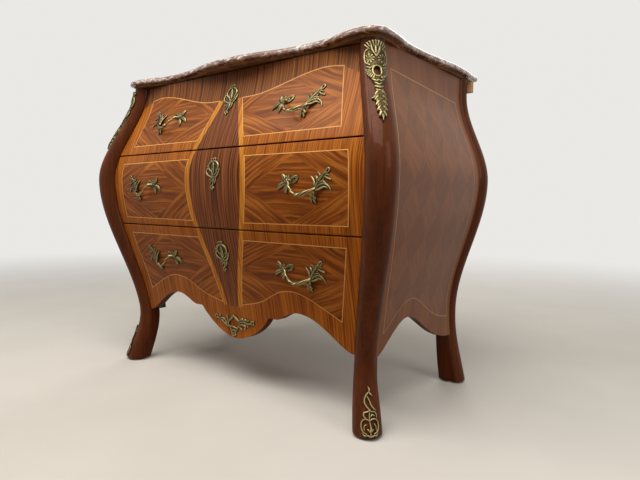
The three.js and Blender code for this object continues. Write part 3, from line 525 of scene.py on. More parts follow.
def post_ring(height, rear, side, shrink=1.0):
    """The section of a corner post: a round nose outwards and a square tail inwards, its arrises eased."""
    radius = float(nose(height)) - NOSE_EASE
    step = float(side_step(height, rear))
    seat = float(shoulder(height, rear))
    half = float(nose_half(height))
    body = height >= panel_foot(rear) - SEAT_GAP
    tail = POST_TAIL if body else LEG_TAIL
    start = math.asin(REAR_FLAT / radius) if rear else math.pi - math.asin(FACE_LEAD / radius)
    end = -math.acos(step / radius)
    angles = np.linspace(start, end, NOSE_POINTS)
    points = [[-half, REAR_FLAT]] if rear else []
    points += [[radius * math.cos(a), radius * math.sin(a)] for a in angles]
    tongue = step - PANEL_THICKNESS - SEAT_GAP if body else step
    points.append([tongue, -seat] if body else [step, -(seat + tail) / 2])
    points += [[tongue, POST_ARRIS - tail], [tongue - POST_ARRIS, -tail]]
    points += [[POST_ARRIS - half, -tail], [-half, POST_ARRIS - tail]]
    out = 1 if rear else -1
    depth = REAR_AXIS if rear else -(FRONT_AXIS + float(swing(height)))
    axis = POST_HALF_SPAN + float(swing(height, rear))
    return [[side * (axis + x * shrink), depth + out * y * shrink + SHIFT, height] for x, y in points]


def build_posts():
    foot = 1 - FOOT_CHAMFER / float(nose(0))
    for side_name, side in BOTH:
        for end_name, rear in (("front", False), ("back", True)):
            low = list(np.linspace(SOLE + FOOT_CHAMFER, panel_foot(rear) - 1, LEG_RINGS))
            high = list(np.linspace(panel_foot(rear) - SEAT_GAP, CASE_TOP, BODY_RINGS))
            rings = [post_ring(SOLE, rear, side, foot)]
            rings.append(post_ring(SOLE + 1, rear, side, (1 + 2 * foot) / 3))
            rings += [post_ring(z, rear, side) for z in low + high]
            node = f"post_{end_name}_{side_name}"
            dress(node, "shaped", "carcass", "mahogany", [MAHOGANY], *skin(rings))


build_posts()

# Side panels

# The string on the sides: its height at both ends, its distance from the panel's edges and above its arch
SIDE_STRING_TOP = (770.0, 748.0)
SIDE_STRING_LEVEL = 766.0
SIDE_STRING_FRONT = 23.0
SIDE_STRING_REAR = ((189, 20, 0.04), (548, 34, 0), (748, 30, 0))
SIDE_STRING_LIFT = (44.0, 55.0)

# The parquetry's lozenges, and the height whose middle they are centred on
LOZENGE = (90.0, 118.0)
LOZENGE_LEVEL = 500.0

# How far in from the posts' axes a side starts to bend from one post to the other
BEND_START = POST_TAIL + 5

# Where the arch of the sides is highest, and the rows and columns of their grid
ARCH_CROWN = SHIFT - ARCH_OFFSET
SIDE_ROWS = 150
SIDE_COLUMNS = 110


def side_edge(height, rear):
    if rear:
        return REAR_AXIS - shoulder(height, True) - SEAT_GAP + SHIFT
    return -(FRONT_AXIS + swing(height)) + shoulder(height, False) + SEAT_GAP + SHIFT


def side_surface(y, height):
    front = BEND_START - FRONT_AXIS - swing(height) + SHIFT
    rear = REAR_AXIS - BEND_START + SHIFT
    share = np.clip((y - front) / (rear - front), 0, 1)
    return side_x(height, False) * (1 - share) + side_x(height, True) * share


def arch_line():
    """The arched lower edge of the side panels, from front to rear."""
    front = (float(side_edge(PANEL_FOOT, False)), PANEL_FOOT)
    rear = (float(side_edge(panel_foot(True), True)), panel_foot(True))
    crest = (ARCH_CROWN, ARCH_CREST)
    return np.vstack([swoop(front, crest, 30), swoop(crest, rear, 40)[1:]])


def build_sides():
    arch = arch_line()
    share = np.linspace(0, 1, SIDE_COLUMNS)

    # the foot of each column settles on the arch, whose place follows the foot's own height
    foot = np.full(SIDE_COLUMNS, PANEL_FOOT)
    for _ in range(8):
        y = side_edge(foot, False) * (1 - share) + side_edge(foot, True) * share
        foot = np.interp(y, arch[:, 0], arch[:, 1])
    t = np.linspace(0, 1, SIDE_ROWS)[:, None]
    z = foot[None, :] + (CASE_TOP - foot[None, :]) * t
    y = side_edge(z, False) * (1 - share) + side_edge(z, True) * share
    x = side_surface(y, z)

    # distances outside the string, positive towards the edges
    front_string = side_edge(z, False) + SIDE_STRING_FRONT
    rear_string = side_edge(z, True) - blend(SIDE_STRING_REAR, z)
    ends = [side_edge(SIDE_STRING_LEVEL, rear) for rear in (False, True)]
    top_string = np.interp(y, ends, SIDE_STRING_TOP)
    lift = np.interp(y, [ARCH_CROWN, arch[-1, 0]], SIDE_STRING_LIFT)
    crest = np.interp(y, arch[:, 0], arch[:, 1]) + lift
    string = np.maximum.reduce([front_string - y, y - rear_string, z - top_string, crest - z])
    middle = (side_edge(LOZENGE_LEVEL, False) + side_edge(LOZENGE_LEVEL, True)) / 2
    figure = np.stack([(y - middle) / LOZENGE[0], z / LOZENGE[1], z * 0], axis=-1)
    values = {"string": string.ravel() / 1000, "figure": figure.reshape(-1, 3)}
    for side_name, side in BOTH:
        outer = np.stack([side * x, y, z], axis=-1)
        inner = np.stack([side * (x - PANEL_THICKNESS), y, z], axis=-1)
        node = f"side_panel_{side_name}"
        dress(node, "veneered", "carcass", "side_veneer", [SIDES, MAHOGANY], *board(outer, inner, values))


build_sides()

# Drawer fronts

# Half width of the dark vase by height, and the width of the light edging round it
VASE = ((217, 20, 0.12), (300, 38, 0.27), (419, 74.5, 0.26), (547, 94, 0), (617, 79, -0.42), (743, 26, -0.36))
EDGING = 14.5
STRING_OUT = 1.0
UPPER_TOP = ((30, 743, 0), (110, 747, 0.16), (280, 781, 0.07), (338, 777, -0.14))
LOWER_ARCH = (
    (35, 224, 0.3),
    (110, 244, 0.42),
    (190, 279, 0.12),
    (225, 280, -0.16),
    (300, 252, -0.5),
    (348, 228, -0.5),
)
APRON_END = 158.0
APRON_ARCH = (222.0, 229.0)
APRON_CUSP = (149.0, 203.0)
APRON_STEP = 25.0
APRON_DROP = 131.0


def vase_half(height):
    return blend(VASE, height)


def apron_line():
    """The lower edge of the apron from the middle to the right end."""
    end = float(post_inner(APRON_END)) - END_CLEARANCE
    outer = swoop((end, APRON_END), APRON_ARCH, 40)
    inner = swoop(APRON_ARCH, APRON_CUSP, 20, HANDLE_SHARES[::-1])
    reach = APRON_CUSP[0] - APRON_STEP
    fall = APRON_CUSP[1] - APRON_DROP
    drop = bezier(
        (reach, APRON_CUSP[1]),
        (reach * DROP_SHARES[0], APRON_CUSP[1] - fall * DROP_SHARES[1]),
        (reach * DROP_SHARES[2], APRON_DROP),
        (0, APRON_DROP),
        40,
    )
    return np.vstack([outer, inner[1:], drop])[::-1]


# The escutcheons' tops under the drawers' upper edges, and the keyholes under those
ESCUTCHEON_TOP = {"upper": 38.5, "middle": 23.5, "lower": 30.5}
KEY_DROP = 30.0

DRAWERS = {
    "upper": {"from": UPPER_GAP + HALF_GAP, "to": CASE_TOP - TOP_REVEAL, "lozenge": (641, 772)},
    "middle": {"from": LOWER_GAP + HALF_GAP, "to": UPPER_GAP - HALF_GAP, "lozenge": (437, 594)},
    "lower": {"from": APRON_END, "to": LOWER_GAP - HALF_GAP, "lozenge": (256, 394)},
}

# Straight sides of the panels, each with a value at a place and a slope: tops and bottoms by the half width,
# distances from the posts by the height
PANEL_TOP = {"middle": (594, 96, -0.006), "lower": (394, 0, 0)}
PANEL_BOTTOM = {"upper": (641.5, 88, 0.003), "middle": (437, 100, 0.008)}
PANEL_INSET = {"upper": (40, 777, -0.11), "middle": (36, 437, 0.03), "lower": (38, 0, 0)}

# The line over the upper panel's end, above which the banding is brown
BROWN_ABOVE = (777, 338, -0.5)


def slanted(line, place):
    value, start, slope = line
    return value + (place - start) * slope


def front_zones(name, x, z):
    """How far each point lies from the parts of the marquetry, in metres, negative inside."""
    half = np.abs(x)
    vase = np.maximum.reduce([half - vase_half(z), z - VASE[-1][0], VASE[0][0] - z])
    edge = np.maximum.reduce([half - vase_half(z) - EDGING, z - VASE[-1][0], VASE[0][0] - z])
    top = blend(UPPER_TOP, half) if name == "upper" else slanted(PANEL_TOP[name], half)
    bottom = blend(LOWER_ARCH, half) if name == "lower" else slanted(PANEL_BOTTOM[name], half)
    outer = post_inner(z) - slanted(PANEL_INSET[name], z)
    if name == "upper":
        tone = z - np.where(half > BROWN_ABOVE[1], slanted(BROWN_ABOVE, half), top)
    else:
        tone = np.full(x.shape, -100.0)
    inner = vase_half(z) + EDGING + STRING_OUT
    across = np.maximum(half - outer, inner - half)
    along = np.maximum(z - top, bottom - z)
    middle_x = (outer + inner) / 2
    half_x = (outer - inner) / 2
    low, high = DRAWERS[name]["lozenge"]
    middle_z = (low + high) / 2
    half_z = (high - low) / 2
    u = half - middle_x
    v = z - middle_z
    diamond = np.abs(u) / half_x + np.abs(v) / half_z
    seed = 1000 * (np.sign(x) + 3 * np.sign(u) + 7 * np.sign(v))
    key = np.hypot(x, z - (DRAWERS[name]["to"] - ESCUTCHEON_TOP[name] - KEY_DROP))
    return {
        "zones": np.stack([tone, vase, edge], axis=-1).reshape(-1, 3) / 1000,
        "panel": np.stack([across / 1000, along / 1000, diamond], axis=-1).reshape(-1, 3),
        "figure": np.stack([u, v, seed], axis=-1).reshape(-1, 3) / 1000,
        "key": key.ravel() / 1000,
    }


# The rounded arris round a front, the grid's first steps over it, and the half width and the height by which
# the steps are divided
FRONT_ARRIS = 1.2
ARRIS_STEPS = np.array([0, 0.35, 0.9])
USUAL_HALF_WIDTH = 400.0
USUAL_HEIGHT = 100.0
FRONT_COLUMNS = 241
FRONT_ROWS = {"upper": 64, "middle": 64, "lower": 92}


def spread(low, high, usual, count):
    """A row of shares between two ends, close together over the arrises."""
    steps = ARRIS_STEPS / usual
    inner = np.linspace(low + FRONT_ARRIS / usual, high - FRONT_ARRIS / usual, count)
    return np.concatenate([low + steps, inner, high - steps[::-1]])


def build_front(name):
    drawer = DRAWERS[name]
    across = spread(-1, 1, USUAL_HALF_WIDTH, FRONT_COLUMNS)
    rise = spread(0, 1, USUAL_HEIGHT, FRONT_ROWS[name])
    foot = np.full(across.shape, drawer["from"])
    if name == "lower":
        # the foot of each column settles on the apron's edge in the same way
        line = apron_line()
        for _ in range(12):
            end = post_inner(np.maximum(foot, APRON_END)) - END_CLEARANCE
            foot = np.interp(np.abs(across) * end, line[:, 0], line[:, 1])
    height = drawer["to"] - foot[None, :]
    z = foot[None, :] + height * rise[:, None]
    end = post_inner(np.maximum(z, APRON_END)) - END_CLEARANCE
    x = across[None, :] * end
    inset = np.minimum.reduce([(1 - np.abs(across))[None, :] * end, z - foot[None, :], drawer["to"] - z])
    inset = np.clip(inset, 0, FRONT_ARRIS)
    sunk = FRONT_ARRIS - np.sqrt(np.maximum(FRONT_ARRIS**2 - (FRONT_ARRIS - inset) ** 2, 0))
    face = np.stack([x, face_y(z) + sunk, z], axis=-1)
    back = np.stack([x, face_y(z) + FRONT_THICKNESS, z], axis=-1)
    parts = board(face, back, front_zones(name, x, z))
    node = f"drawer_front_{name}"
    dress(node, "veneered", f"{name}_drawer", "front_veneer", [FRONTS, MAHOGANY], *parts)


for drawer_name in DRAWERS:
    build_front(drawer_name)

# Stone top

EAR = 14.0
FRONT_BOW = 40.0
FRONT_VALLEY = (248.0, 11.0)
SIDE_VALLEY = (62.0, 9.0)
SIDE_BOW = (175.0, 21.0)
REAR_CORNER = 15.0
STONE_SEAT = CASE_TOP + SEAT_GAP
COVE_TOP = 4.5

# The moulded edge: how far in and up each quarter round goes, and the inset and the top of the lip
STONE_HOLLOW = (11.5, 5.0)
STONE_LIP = (3.2, 4.2)
STONE_ROUND = (10.0, 9.5)
LIP_INSET = 3.5
LIP_TOP = 9.5

# Points on each curve of the outline, round each front corner and on each quarter round of the edge
OUTLINE_POINTS = 44
CORNER_POINTS = 26
EDGE_POINTS = 9


def stone_outline():
    """The right half of the stone's outline, from the middle of the front to the rear."""
    axis_x = POST_HALF_SPAN + float(swing(CASE_TOP))
    axis_y = -(FRONT_AXIS + float(swing(CASE_TOP)))
    ear = float(nose(CASE_TOP)) + EAR
    face = float(face_y(CASE_TOP)) - SHIFT
    bow, valley = face - FRONT_BOW, face - FRONT_VALLEY[1]
    front_side, rear_side = float(side_x(CASE_TOP, False)), float(side_x(CASE_TOP, True))
    valley_x = (front_side + rear_side) / 2 + SIDE_VALLEY[1]
    bow_x = rear_side + SIDE_BOW[1]

    def ease(start, stop, along_x):
        if along_x:
            return swoop(start, stop, OUTLINE_POINTS, (0.5, 0.5))
        return swoop(start[::-1], stop[::-1], OUTLINE_POINTS, (0.5, 0.5))[:, ::-1]

    turn = np.linspace(-math.pi / 2, 0, CORNER_POINTS)
    corner = np.stack([axis_x + ear * np.cos(turn), axis_y + ear * np.sin(turn)], axis=1)
    parts = [
        ease((0, bow), (FRONT_VALLEY[0], valley), True),
        ease((FRONT_VALLEY[0], valley), (axis_x, axis_y - ear), True)[1:],
        corner[1:],
        ease((axis_x + ear, axis_y), (valley_x, -SIDE_VALLEY[0]), False)[1:],
        ease((valley_x, -SIDE_VALLEY[0]), (bow_x, SIDE_BOW[0]), False)[1:],
        ease((bow_x, SIDE_BOW[0]), (rear_side + REAR_CORNER, STONE_REAR), False)[1:],
    ]
    return np.vstack(parts)


def stone_profile():
    """Inset and rise of the moulded edge: a hollow, then a full round nose to the top."""
    turn = np.linspace(0, math.pi / 2, EDGE_POINTS)
    start = STONE_THICKNESS - STONE_ROUND[1]
    hollow = [(LIP_INSET + STONE_HOLLOW[0] * math.cos(a), STONE_HOLLOW[1] * math.sin(a)) for a in turn]
    lip = [(STONE_LIP[0] * (1 - math.sin(a)), LIP_TOP - STONE_LIP[1] * math.cos(a)) for a in turn]
    over = [(STONE_ROUND[0] * (1 - math.cos(a)), start + STONE_ROUND[1] * math.sin(a)) for a in turn]
    return hollow + lip + over


def build_stone():
    right = stone_outline()
    left = right[1:][::-1] * [-1, 1]
    outline = np.vstack([right, left])
    before, after = np.roll(outline, 1, axis=0), np.roll(outline, -1, axis=0)
    along = after - before
    along /= np.linalg.norm(along, axis=1)[:, None]
    normal = np.stack([along[:, 1], -along[:, 0]], axis=1)

    # the rear edge is left straight: its two corners are only drawn in sideways
    corner = len(right) - 1
    normal[corner] = (normal[corner - 1][0], 0.0)
    normal[corner + 1] = (normal[corner + 2][0], 0.0)
    rings = []
    for inset, rise in stone_profile():
        ring = outline - normal * inset
        rings.append(np.column_stack([ring[:, 0], ring[:, 1] + SHIFT, np.full(len(ring), STONE_SEAT + rise)]))
    points, faces = skin(rings)
    # faces below the cove's top take the darker brown of the underside, which is partly painted shade
    picks = [int(max(points[i][2] for i in f) <= STONE_SEAT + COVE_TOP) for f in faces]
    materials = [STONE, STONE_UNDER_AND_SHADE]
    dress("marble_top", "moulded", "carcass", "marble", materials, points, faces, picks, smooth=30)


build_stone()

# Castings, built up by round strokes on a fine grid that is laid on the curved wood

CAST_STEP = 0.7
CAST_RIM = 0.9
CAST_GAP = 0.3
SAMPLE_STEP = 0.8
THINNEST_STROKE = 0.3
DOME_POWER = 0.65
RING_POINTS = 13

# Wear and painted shade go from 0 in the hollows to 1 on the ridges, by the height over a blurred copy of the
# casting: the dark hollows are grime and painted shade, the light ridges wear and painted highlight. The rim
# and the back have a darker value of their own, painted shade next to the wood, with a share of the crown
WEAR_AND_SHADE_BLUR = 9
WEAR_AND_SHADE_LEVEL = 0.5
WEAR_AND_SHADE_RANGE = 2.4
RIM_SHADE = (0.22, 0.05)
BACK_SHADE = (0.1, 0.2)

# The round bars: their sides and their tone, and the ribs that wind round them, lighter on their crests and
# darker between them: wear, with painted shade
BAR_SIDES = 12
BAR_WEAR_AND_SHADE = 0.66
BAR_UP = (0.0, 0.55, 0.83)
RIB_COUNT = 3
RIB_DEPTH = 0.07
RIB_TWIST = 0.35
RIB_WEAR_AND_SHADE = 3


def spline(points, spacing):
    """Samples of a smooth line through points that may carry more values than their place."""
    points = np.asarray(points, float)
    if len(points) == 1:
        return points
    tangents = np.gradient(points, axis=0)
    samples = [points[:1]]
    for a, b, m, n in zip(points, points[1:], tangents, tangents[1:]):
        count = max(2, math.ceil(np.linalg.norm((b - a)[:2]) / spacing))
        t = np.linspace(0, 1, count + 1)[1:, None]
        ease = t * t * (3 - 2 * t)
        samples.append(a + (b - a) * ease + t * (1 - t) ** 2 * m + t * t * (t - 1) * n)
    return np.vstack(samples)


def ring_points(s, z, radius, width, tall=1.0):
    """A closed round stroke."""
    turn = np.linspace(0, 2 * math.pi, RING_POINTS)
    return [(s + radius * math.cos(a), z + tall * radius * math.sin(a), width) for a in turn]


def mirrored(*strokes):
    """The strokes and their mirror images at the middle of a casting."""
    return [*strokes, *([(-s, z, w) for s, z, w in stroke] for stroke in strokes)]


class Relief:
    """A casting as a height field that is trimmed where no stroke reaches."""

    def __init__(self, field, s=0.0, z=0.0):
        (left, right), (low, high) = field
        self.s = np.arange(s + left, s + right + CAST_STEP, CAST_STEP)
        self.z = np.arange(z + low, z + high + CAST_STEP, CAST_STEP)
        self.cover = np.full((len(self.z), len(self.s)), -2 * CAST_STEP)
        self.height = np.zeros(self.cover.shape)
        self.cut = np.zeros(self.cover.shape)

    def windows(self, points):
        """Each sample of a stroke with its half width, the grid cells near it and their distances from it."""
        for s, z, width in spline(points, SAMPLE_STEP):
            width = max(width, THINNEST_STROKE)
            reach = width + 2 * CAST_STEP
            j = slice(*np.searchsorted(self.s, (s - reach, s + reach)))
            i = slice(*np.searchsorted(self.z, (z - reach, z + reach)))
            yield width, (i, j), np.hypot(self.s[None, j] - s, self.z[i, None] - z)

    def add(self, strokes, rise=0.8, top=9.0):
        for stroke in strokes:
            for width, cells, distance in self.windows(stroke):
                dome = np.maximum(1 - (distance / width) ** 2, 0) ** DOME_POWER
                dome = np.minimum(rise * width * dome, top)
                self.height[cells] = np.maximum(self.height[cells], dome)
                self.cover[cells] = np.maximum(self.cover[cells], width - distance)

    def carve(self, strokes, depth):
        for stroke in strokes:
            for width, cells, distance in self.windows(stroke):
                groove = depth * np.maximum(1 - (distance / width) ** 2, 0)
                self.cut[cells] = np.maximum(self.cut[cells], groove)

    def pierce(self, strokes):
        for stroke in strokes:
            for width, cells, distance in self.windows(stroke):
                self.cover[cells] = np.minimum(self.cover[cells], distance - width)

    def blurred(self, field, passes):
        for _ in range(passes):
            for axis in (0, 1):
                field = (np.roll(field, 1, axis) + 2 * field + np.roll(field, -1, axis)) / 4
        return field

    def trimmed(self, rim_shade):
        """The field cut along its outline: places with their height and their wear and painted shade, faces,
        and the rim's edges.
        """
        inside = self.cover > 0
        height = np.where(inside, np.maximum(self.height - self.cut, 0), 0)
        # dark in the hollows, light on the ridges: grime and wear, with painted shade and painted highlight
        wear_and_shade = np.clip(WEAR_AND_SHADE_LEVEL + (height - self.blurred(height, WEAR_AND_SHADE_BLUR)) / WEAR_AND_SHADE_RANGE, 0, 1)
        height = np.where(inside, self.blurred(height, 1), 0)
        rows, columns = inside.shape
        corner = np.full(inside.shape, -1)
        corner[inside] = np.arange(inside.sum())
        i, j = np.nonzero(inside)
        places = [np.stack([self.s[j], self.z[i], height[i, j], wear_and_shade[i, j]], axis=1)]
        crossings = []
        total = len(i)
        for down, right in ((0, 1), (1, 0)):
            near = self.cover[: rows - down, : columns - right]
            far = self.cover[down:, right:]
            crossed = (near > 0) != (far > 0)
            index = np.full(inside.shape, -1)
            i, j = np.nonzero(crossed)
            index[i, j] = total + np.arange(len(i))
            total += len(i)
            share = near[crossed] / (near[crossed] - far[crossed])
            s = self.s[j] + right * share * CAST_STEP
            z = self.z[i] + down * share * CAST_STEP
            places.append(np.stack([s, z, s * 0, s * 0 + rim_shade], axis=1))
            crossings.append(index)
        along, upward = crossings
        whole = inside[:-1, :-1] & inside[:-1, 1:] & inside[1:, 1:] & inside[1:, :-1]
        some = inside[:-1, :-1] | inside[:-1, 1:] | inside[1:, 1:] | inside[1:, :-1]
        i, j = np.nonzero(whole)
        quads = np.stack([corner[i, j], corner[i, j + 1], corner[i + 1, j + 1], corner[i + 1, j]], axis=1)
        faces, rim = quads.tolist(), []
        for i, j in zip(*np.nonzero(some & ~whole)):
            corners = [corner[i, j], corner[i, j + 1], corner[i + 1, j + 1], corner[i + 1, j]]
            edges = [along[i, j], upward[i, j + 1], along[i + 1, j], upward[i, j]]
            polygon, leaving = [], []
            for k in range(4):
                here, there = corners[k] >= 0, corners[(k + 1) % 4] >= 0
                if here:
                    polygon.append(int(corners[k]))
                if here != there:
                    polygon.append(int(edges[k]))
                    if here:
                        leaving.append(int(edges[k]))
            faces.append(polygon)
            rim += [(start, polygon[(polygon.index(start) + 1) % len(polygon)]) for start in leaving]
        return np.vstack(places), faces, rim

    def mesh(self, base, lift=None, crown=0.0):
        """The trimmed casting on a surface: its points, its faces and its wear and painted shade.

        The lift takes the casting off the surface, the crown thickens it towards its middle line.
        """
        places, faces, rim = self.trimmed(RIM_SHADE[0] + RIM_SHADE[1] * crown)
        s, z, height, wear_and_shade = places.T
        near = 0.05
        run = base(s + near, z) - base(s - near, z)
        climb = base(s, z + near) - base(s, z - near)
        normal = np.cross(run, climb)
        normal /= np.linalg.norm(normal, axis=1)[:, None]
        floor = base(s, z)
        ground = CAST_GAP + (lift(s, z) if lift else 0 * s)
        thickness = CAST_RIM + height + crown * np.clip(1 - (s / self.s[-1]) ** 2, 0, 1)
        front = floor + normal * (ground + thickness)[:, None]
        back = floor + normal * ground[:, None]
        count = len(places)
        backs = [[v + count for v in face[::-1]] for face in faces]
        walls = [[a + count, b + count, b, a] for a, b in rim]
        # the back, and the walls between it and the rim, are darker next to the wood: painted shade
        back_shade = np.full(count, BACK_SHADE[0] + BACK_SHADE[1] * crown)
        return np.vstack([front, back]), faces + backs + walls, np.concatenate([wear_and_shade, back_shade])


def on_face(s, z):
    return np.stack([s, face_y(z), z], axis=-1)


def on_nose(s, z):
    """The surface of the front right post's round nose, by the distance from its middle line."""
    radius = nose(z)
    angle = s / radius - math.pi / 4
    x = POST_HALF_SPAN + swing(z) + radius * np.cos(angle)
    y = SHIFT - FRONT_AXIS - swing(z) + radius * np.sin(angle)
    return np.stack([x, y, z], axis=-1)


def bar(points):
    """A round bar off the drawer face, from points with x, height, radius and distance from the face."""
    samples = spline(points, 1.0)
    centres = np.stack([samples[:, 0], face_y(samples[:, 1]) - samples[:, 3], samples[:, 1]], axis=1)
    tangents = np.gradient(centres, axis=0)
    tangents /= np.linalg.norm(tangents, axis=1)[:, None]
    across = np.cross(tangents, BAR_UP)
    across /= np.linalg.norm(across, axis=1)[:, None]
    over = np.cross(tangents, across)
    turn = np.linspace(0, 2 * math.pi, BAR_SIDES, endpoint=False)
    ribs = 1 + RIB_DEPTH * np.sin(RIB_COUNT * turn[None, :] + RIB_TWIST * np.arange(len(samples))[:, None])
    circle = across[:, None] * np.cos(turn)[None, :, None] + over[:, None] * np.sin(turn)[None, :, None]
    rings = centres[:, None] + circle * (samples[:, 2, None] * ribs)[:, :, None]
    # lighter on the ribs, darker between them: wear with painted shade
    wear_and_shade = np.clip(BAR_WEAR_AND_SHADE + (ribs - 1) * RIB_WEAR_AND_SHADE, 0, 1)
    return *skin(rings), wear_and_shade.ravel()


def casting(node, body, parts, side=1):
    """Several skins as one brass piece, mirrored for the left side."""
    points, faces, wear_and_shade = [], [], []
    for part_points, part_faces, part_wear_and_shade in parts:
        start = sum(len(p) for p in points)
        points.append(part_points)
        faces += [[v + start for v in face[::side]] for face in part_faces]
        wear_and_shade.append(part_wear_and_shade)
    points = np.vstack(points) * [side, 1, 1]
    values = {"relief": np.concatenate(wear_and_shade)}
    dress(node, "cast", body, "brass", [BRASS], points, faces, values=values, smooth=70)


def moved(strokes, s, z, widen=1.0):
    return [[(a + s, b + z, w * widen) for a, b, w in stroke] for stroke in strokes]


# The handles: a palmate leaf, a knotted branch that stands off the face and a spray of stems
LEAF_FULLNESS = 1.36
SPRAY_FULLNESS = 1.18
BAR_FULLNESS = 0.84
VEIN_WIDTH = 0.9
VEIN_DEPTH = 1.3
SPRAY_LIFT = 6.5
SPRAY_LIFT_REACH = 34.0
SPRAY_ROOT = (37.0, -12.0)
HANDLE_FIELD = ((-72, 82), (-40, 40))

# Where the handles are: distance from the middle, and depth under the drawer's top
HANDLE_PLACES = {"upper": (226.0, 111.5), "middle": (282.0, 92.5), "lower": (242.0, 90.5)}
LEAF_LOBES = [
    [(-40, 7, 3.4), (-46, 15, 4.6), (-51, 21, 3.4), (-55, 25, 1.2)],
    [(-40, 9, 2.6), (-42, 16, 2.8), (-42.5, 21, 1.2)],
    [(-36, 9, 2.6), (-36, 16, 2.6), (-34.5, 21.5, 1.1)],
    [(-31, 10, 2.4), (-24, 16.5, 2.2), (-17, 18.5, 2.3), (-9.5, 20, 1.1)],
    [(-28, 7, 2.2), (-19, 8, 2.2), (-13, 13, 2.1), (-9.5, 19, 1.2)],
    [(-42, 5, 3.6), (-52, 3, 4.4), (-61, -1, 3.8), (-68, -8, 1.3)],
    [(-40, 3, 3.6), (-43, -4, 4.5), (-45, -10, 3.7), (-45.5, -17, 1.2)],
]
LEAF_BODY = [[(-41, 9, 5.5), (-33, 9, 4.8)]]
LEAF_GROUND = [[(-47, 13, 6), (-37, 9, 7)], [(-50, 2, 5), (-42, -2, 5)], [(-36, 12, 5), (-24, 13, 3.5)]]
LEAF_VEINS = [[(s, z, VEIN_WIDTH) for s, z, _ in lobe] for lobe in LEAF_LOBES]
SPRAY_GROUND = [
    [(41, -6, 5), (48, 6, 7), (56, 17, 6.5), (64, 24, 4)],
    [(46, -2, 4), (62, 3, 3.5)],
    [(30, -22, 4), (34, -27, 4.5)],
]
SPRAY = [
    [(38, -8, 3.4), (44, 2, 3.2), (50, 12, 3.2), (57, 20, 3.0), (64, 26, 2.6)],
    [(64, 26, 1.9), (67, 32, 1.8), (71, 34, 1.8), (74, 31, 1.8), (71, 26.5, 1.8), (64, 23, 1.8)],
    [(39, -4, 2.8), (38, 3, 2.9), (35, 9.5, 2.5), (31, 14, 2.0), (27, 18.5, 1.1)],
    [(52, 15, 2.6), (50, 20, 2.2), (45, 26, 1.1)],
    [(56, 18, 2.4), (62, 17.5, 2.2), (68, 13.8, 1.9), (76.5, 11, 2.0)],
    [(46, 2, 2.4), (54, 7, 2.2), (62, 7, 1.3)],
    [
        (40, -7, 2.8), (48, -1, 2.6), (56, 2.5, 2.2), (63, 2.5, 2.0),
        (70, -2, 2.0), (75, -7.5, 1.8), (77.5, -13.5, 1.0),
    ],
    [(41, -9, 2.6), (49, -8.5, 2.4), (57, -5, 2.0), (63, -3.8, 1.7), (69, -6.5, 1.1)],
    [(38, -8, 3.0), (37, -14, 2.8), (34, -21, 3.0)],
    [(24, -19, 1.8), (29, -21, 3.0), (34, -23, 3.4), (38.5, -27, 2.4)],
    [(29, -22, 3.0), (28, -28, 3.1), (26.5, -34, 1.4)],
    [(33, -24, 3.0), (35, -30, 3.0), (37, -35.5, 1.4)],
    [(33, -21, 2.6), (39, -18.5, 1.3)],
    [(45, 8, 2.8), (43, 15, 2.4), (39, 19, 1.1)],
    [(58, 21, 2.4), (65, 21, 2.0), (72, 19.5, 1.0)],
]
BRANCH = [
    (-33, 9, 4.4, 2), (-28, 7, 3.6, 12), (-20, -3, 2.9, 20), (-13, -12, 3.0, 22),
    (-9, -16, 4.1, 22.5), (-4, -18.5, 3.0, 23), (3, -20.5, 4.7, 23.5), (9, -19.5, 3.3, 23),
    (16, -17, 3.2, 22), (25, -14, 3.0, 19), (33, -11, 3.3, 14), (40, -7, 3.8, 6),
]
TWIG = [(5, -23, 2.6, 23), (15, -22, 2.2, 20), (24, -18.5, 2.3, 16), (33, -20, 2.6, 9)]


def spray_lift(s, z):
    """How far the spray's root stands off the face, where the branch runs into it."""
    far = np.hypot(s - SPRAY_ROOT[0], z - SPRAY_ROOT[1])
    return SPRAY_LIFT * np.clip(1 - far / SPRAY_LIFT_REACH, 0, 1)


def build_handles():
    for drawer, (offset, drop) in HANDLE_PLACES.items():
        level = DRAWERS[drawer]["to"] - drop
        relief = Relief(HANDLE_FIELD, offset, level)
        relief.add(moved(LEAF_GROUND + SPRAY_GROUND, offset, level), top=1.2)
        relief.add(moved(LEAF_BODY + LEAF_LOBES, offset, level, LEAF_FULLNESS), rise=0.7)
        relief.add(moved(SPRAY, offset, level, SPRAY_FULLNESS), rise=0.75)
        relief.carve(moved(LEAF_VEINS, offset, level), VEIN_DEPTH)
        parts = [relief.mesh(on_face, lambda s, z, o=offset, v=level: spray_lift(s - o, z - v))]
        for rod in (BRANCH, TWIG):
            parts.append(bar([(s + offset, z + level, BAR_FULLNESS * r, out) for s, z, r, out in rod]))
        for side_name, side in BOTH:
            casting(f"handle_{drawer}_{side_name}", f"{drawer}_drawer", parts, side)


build_handles()

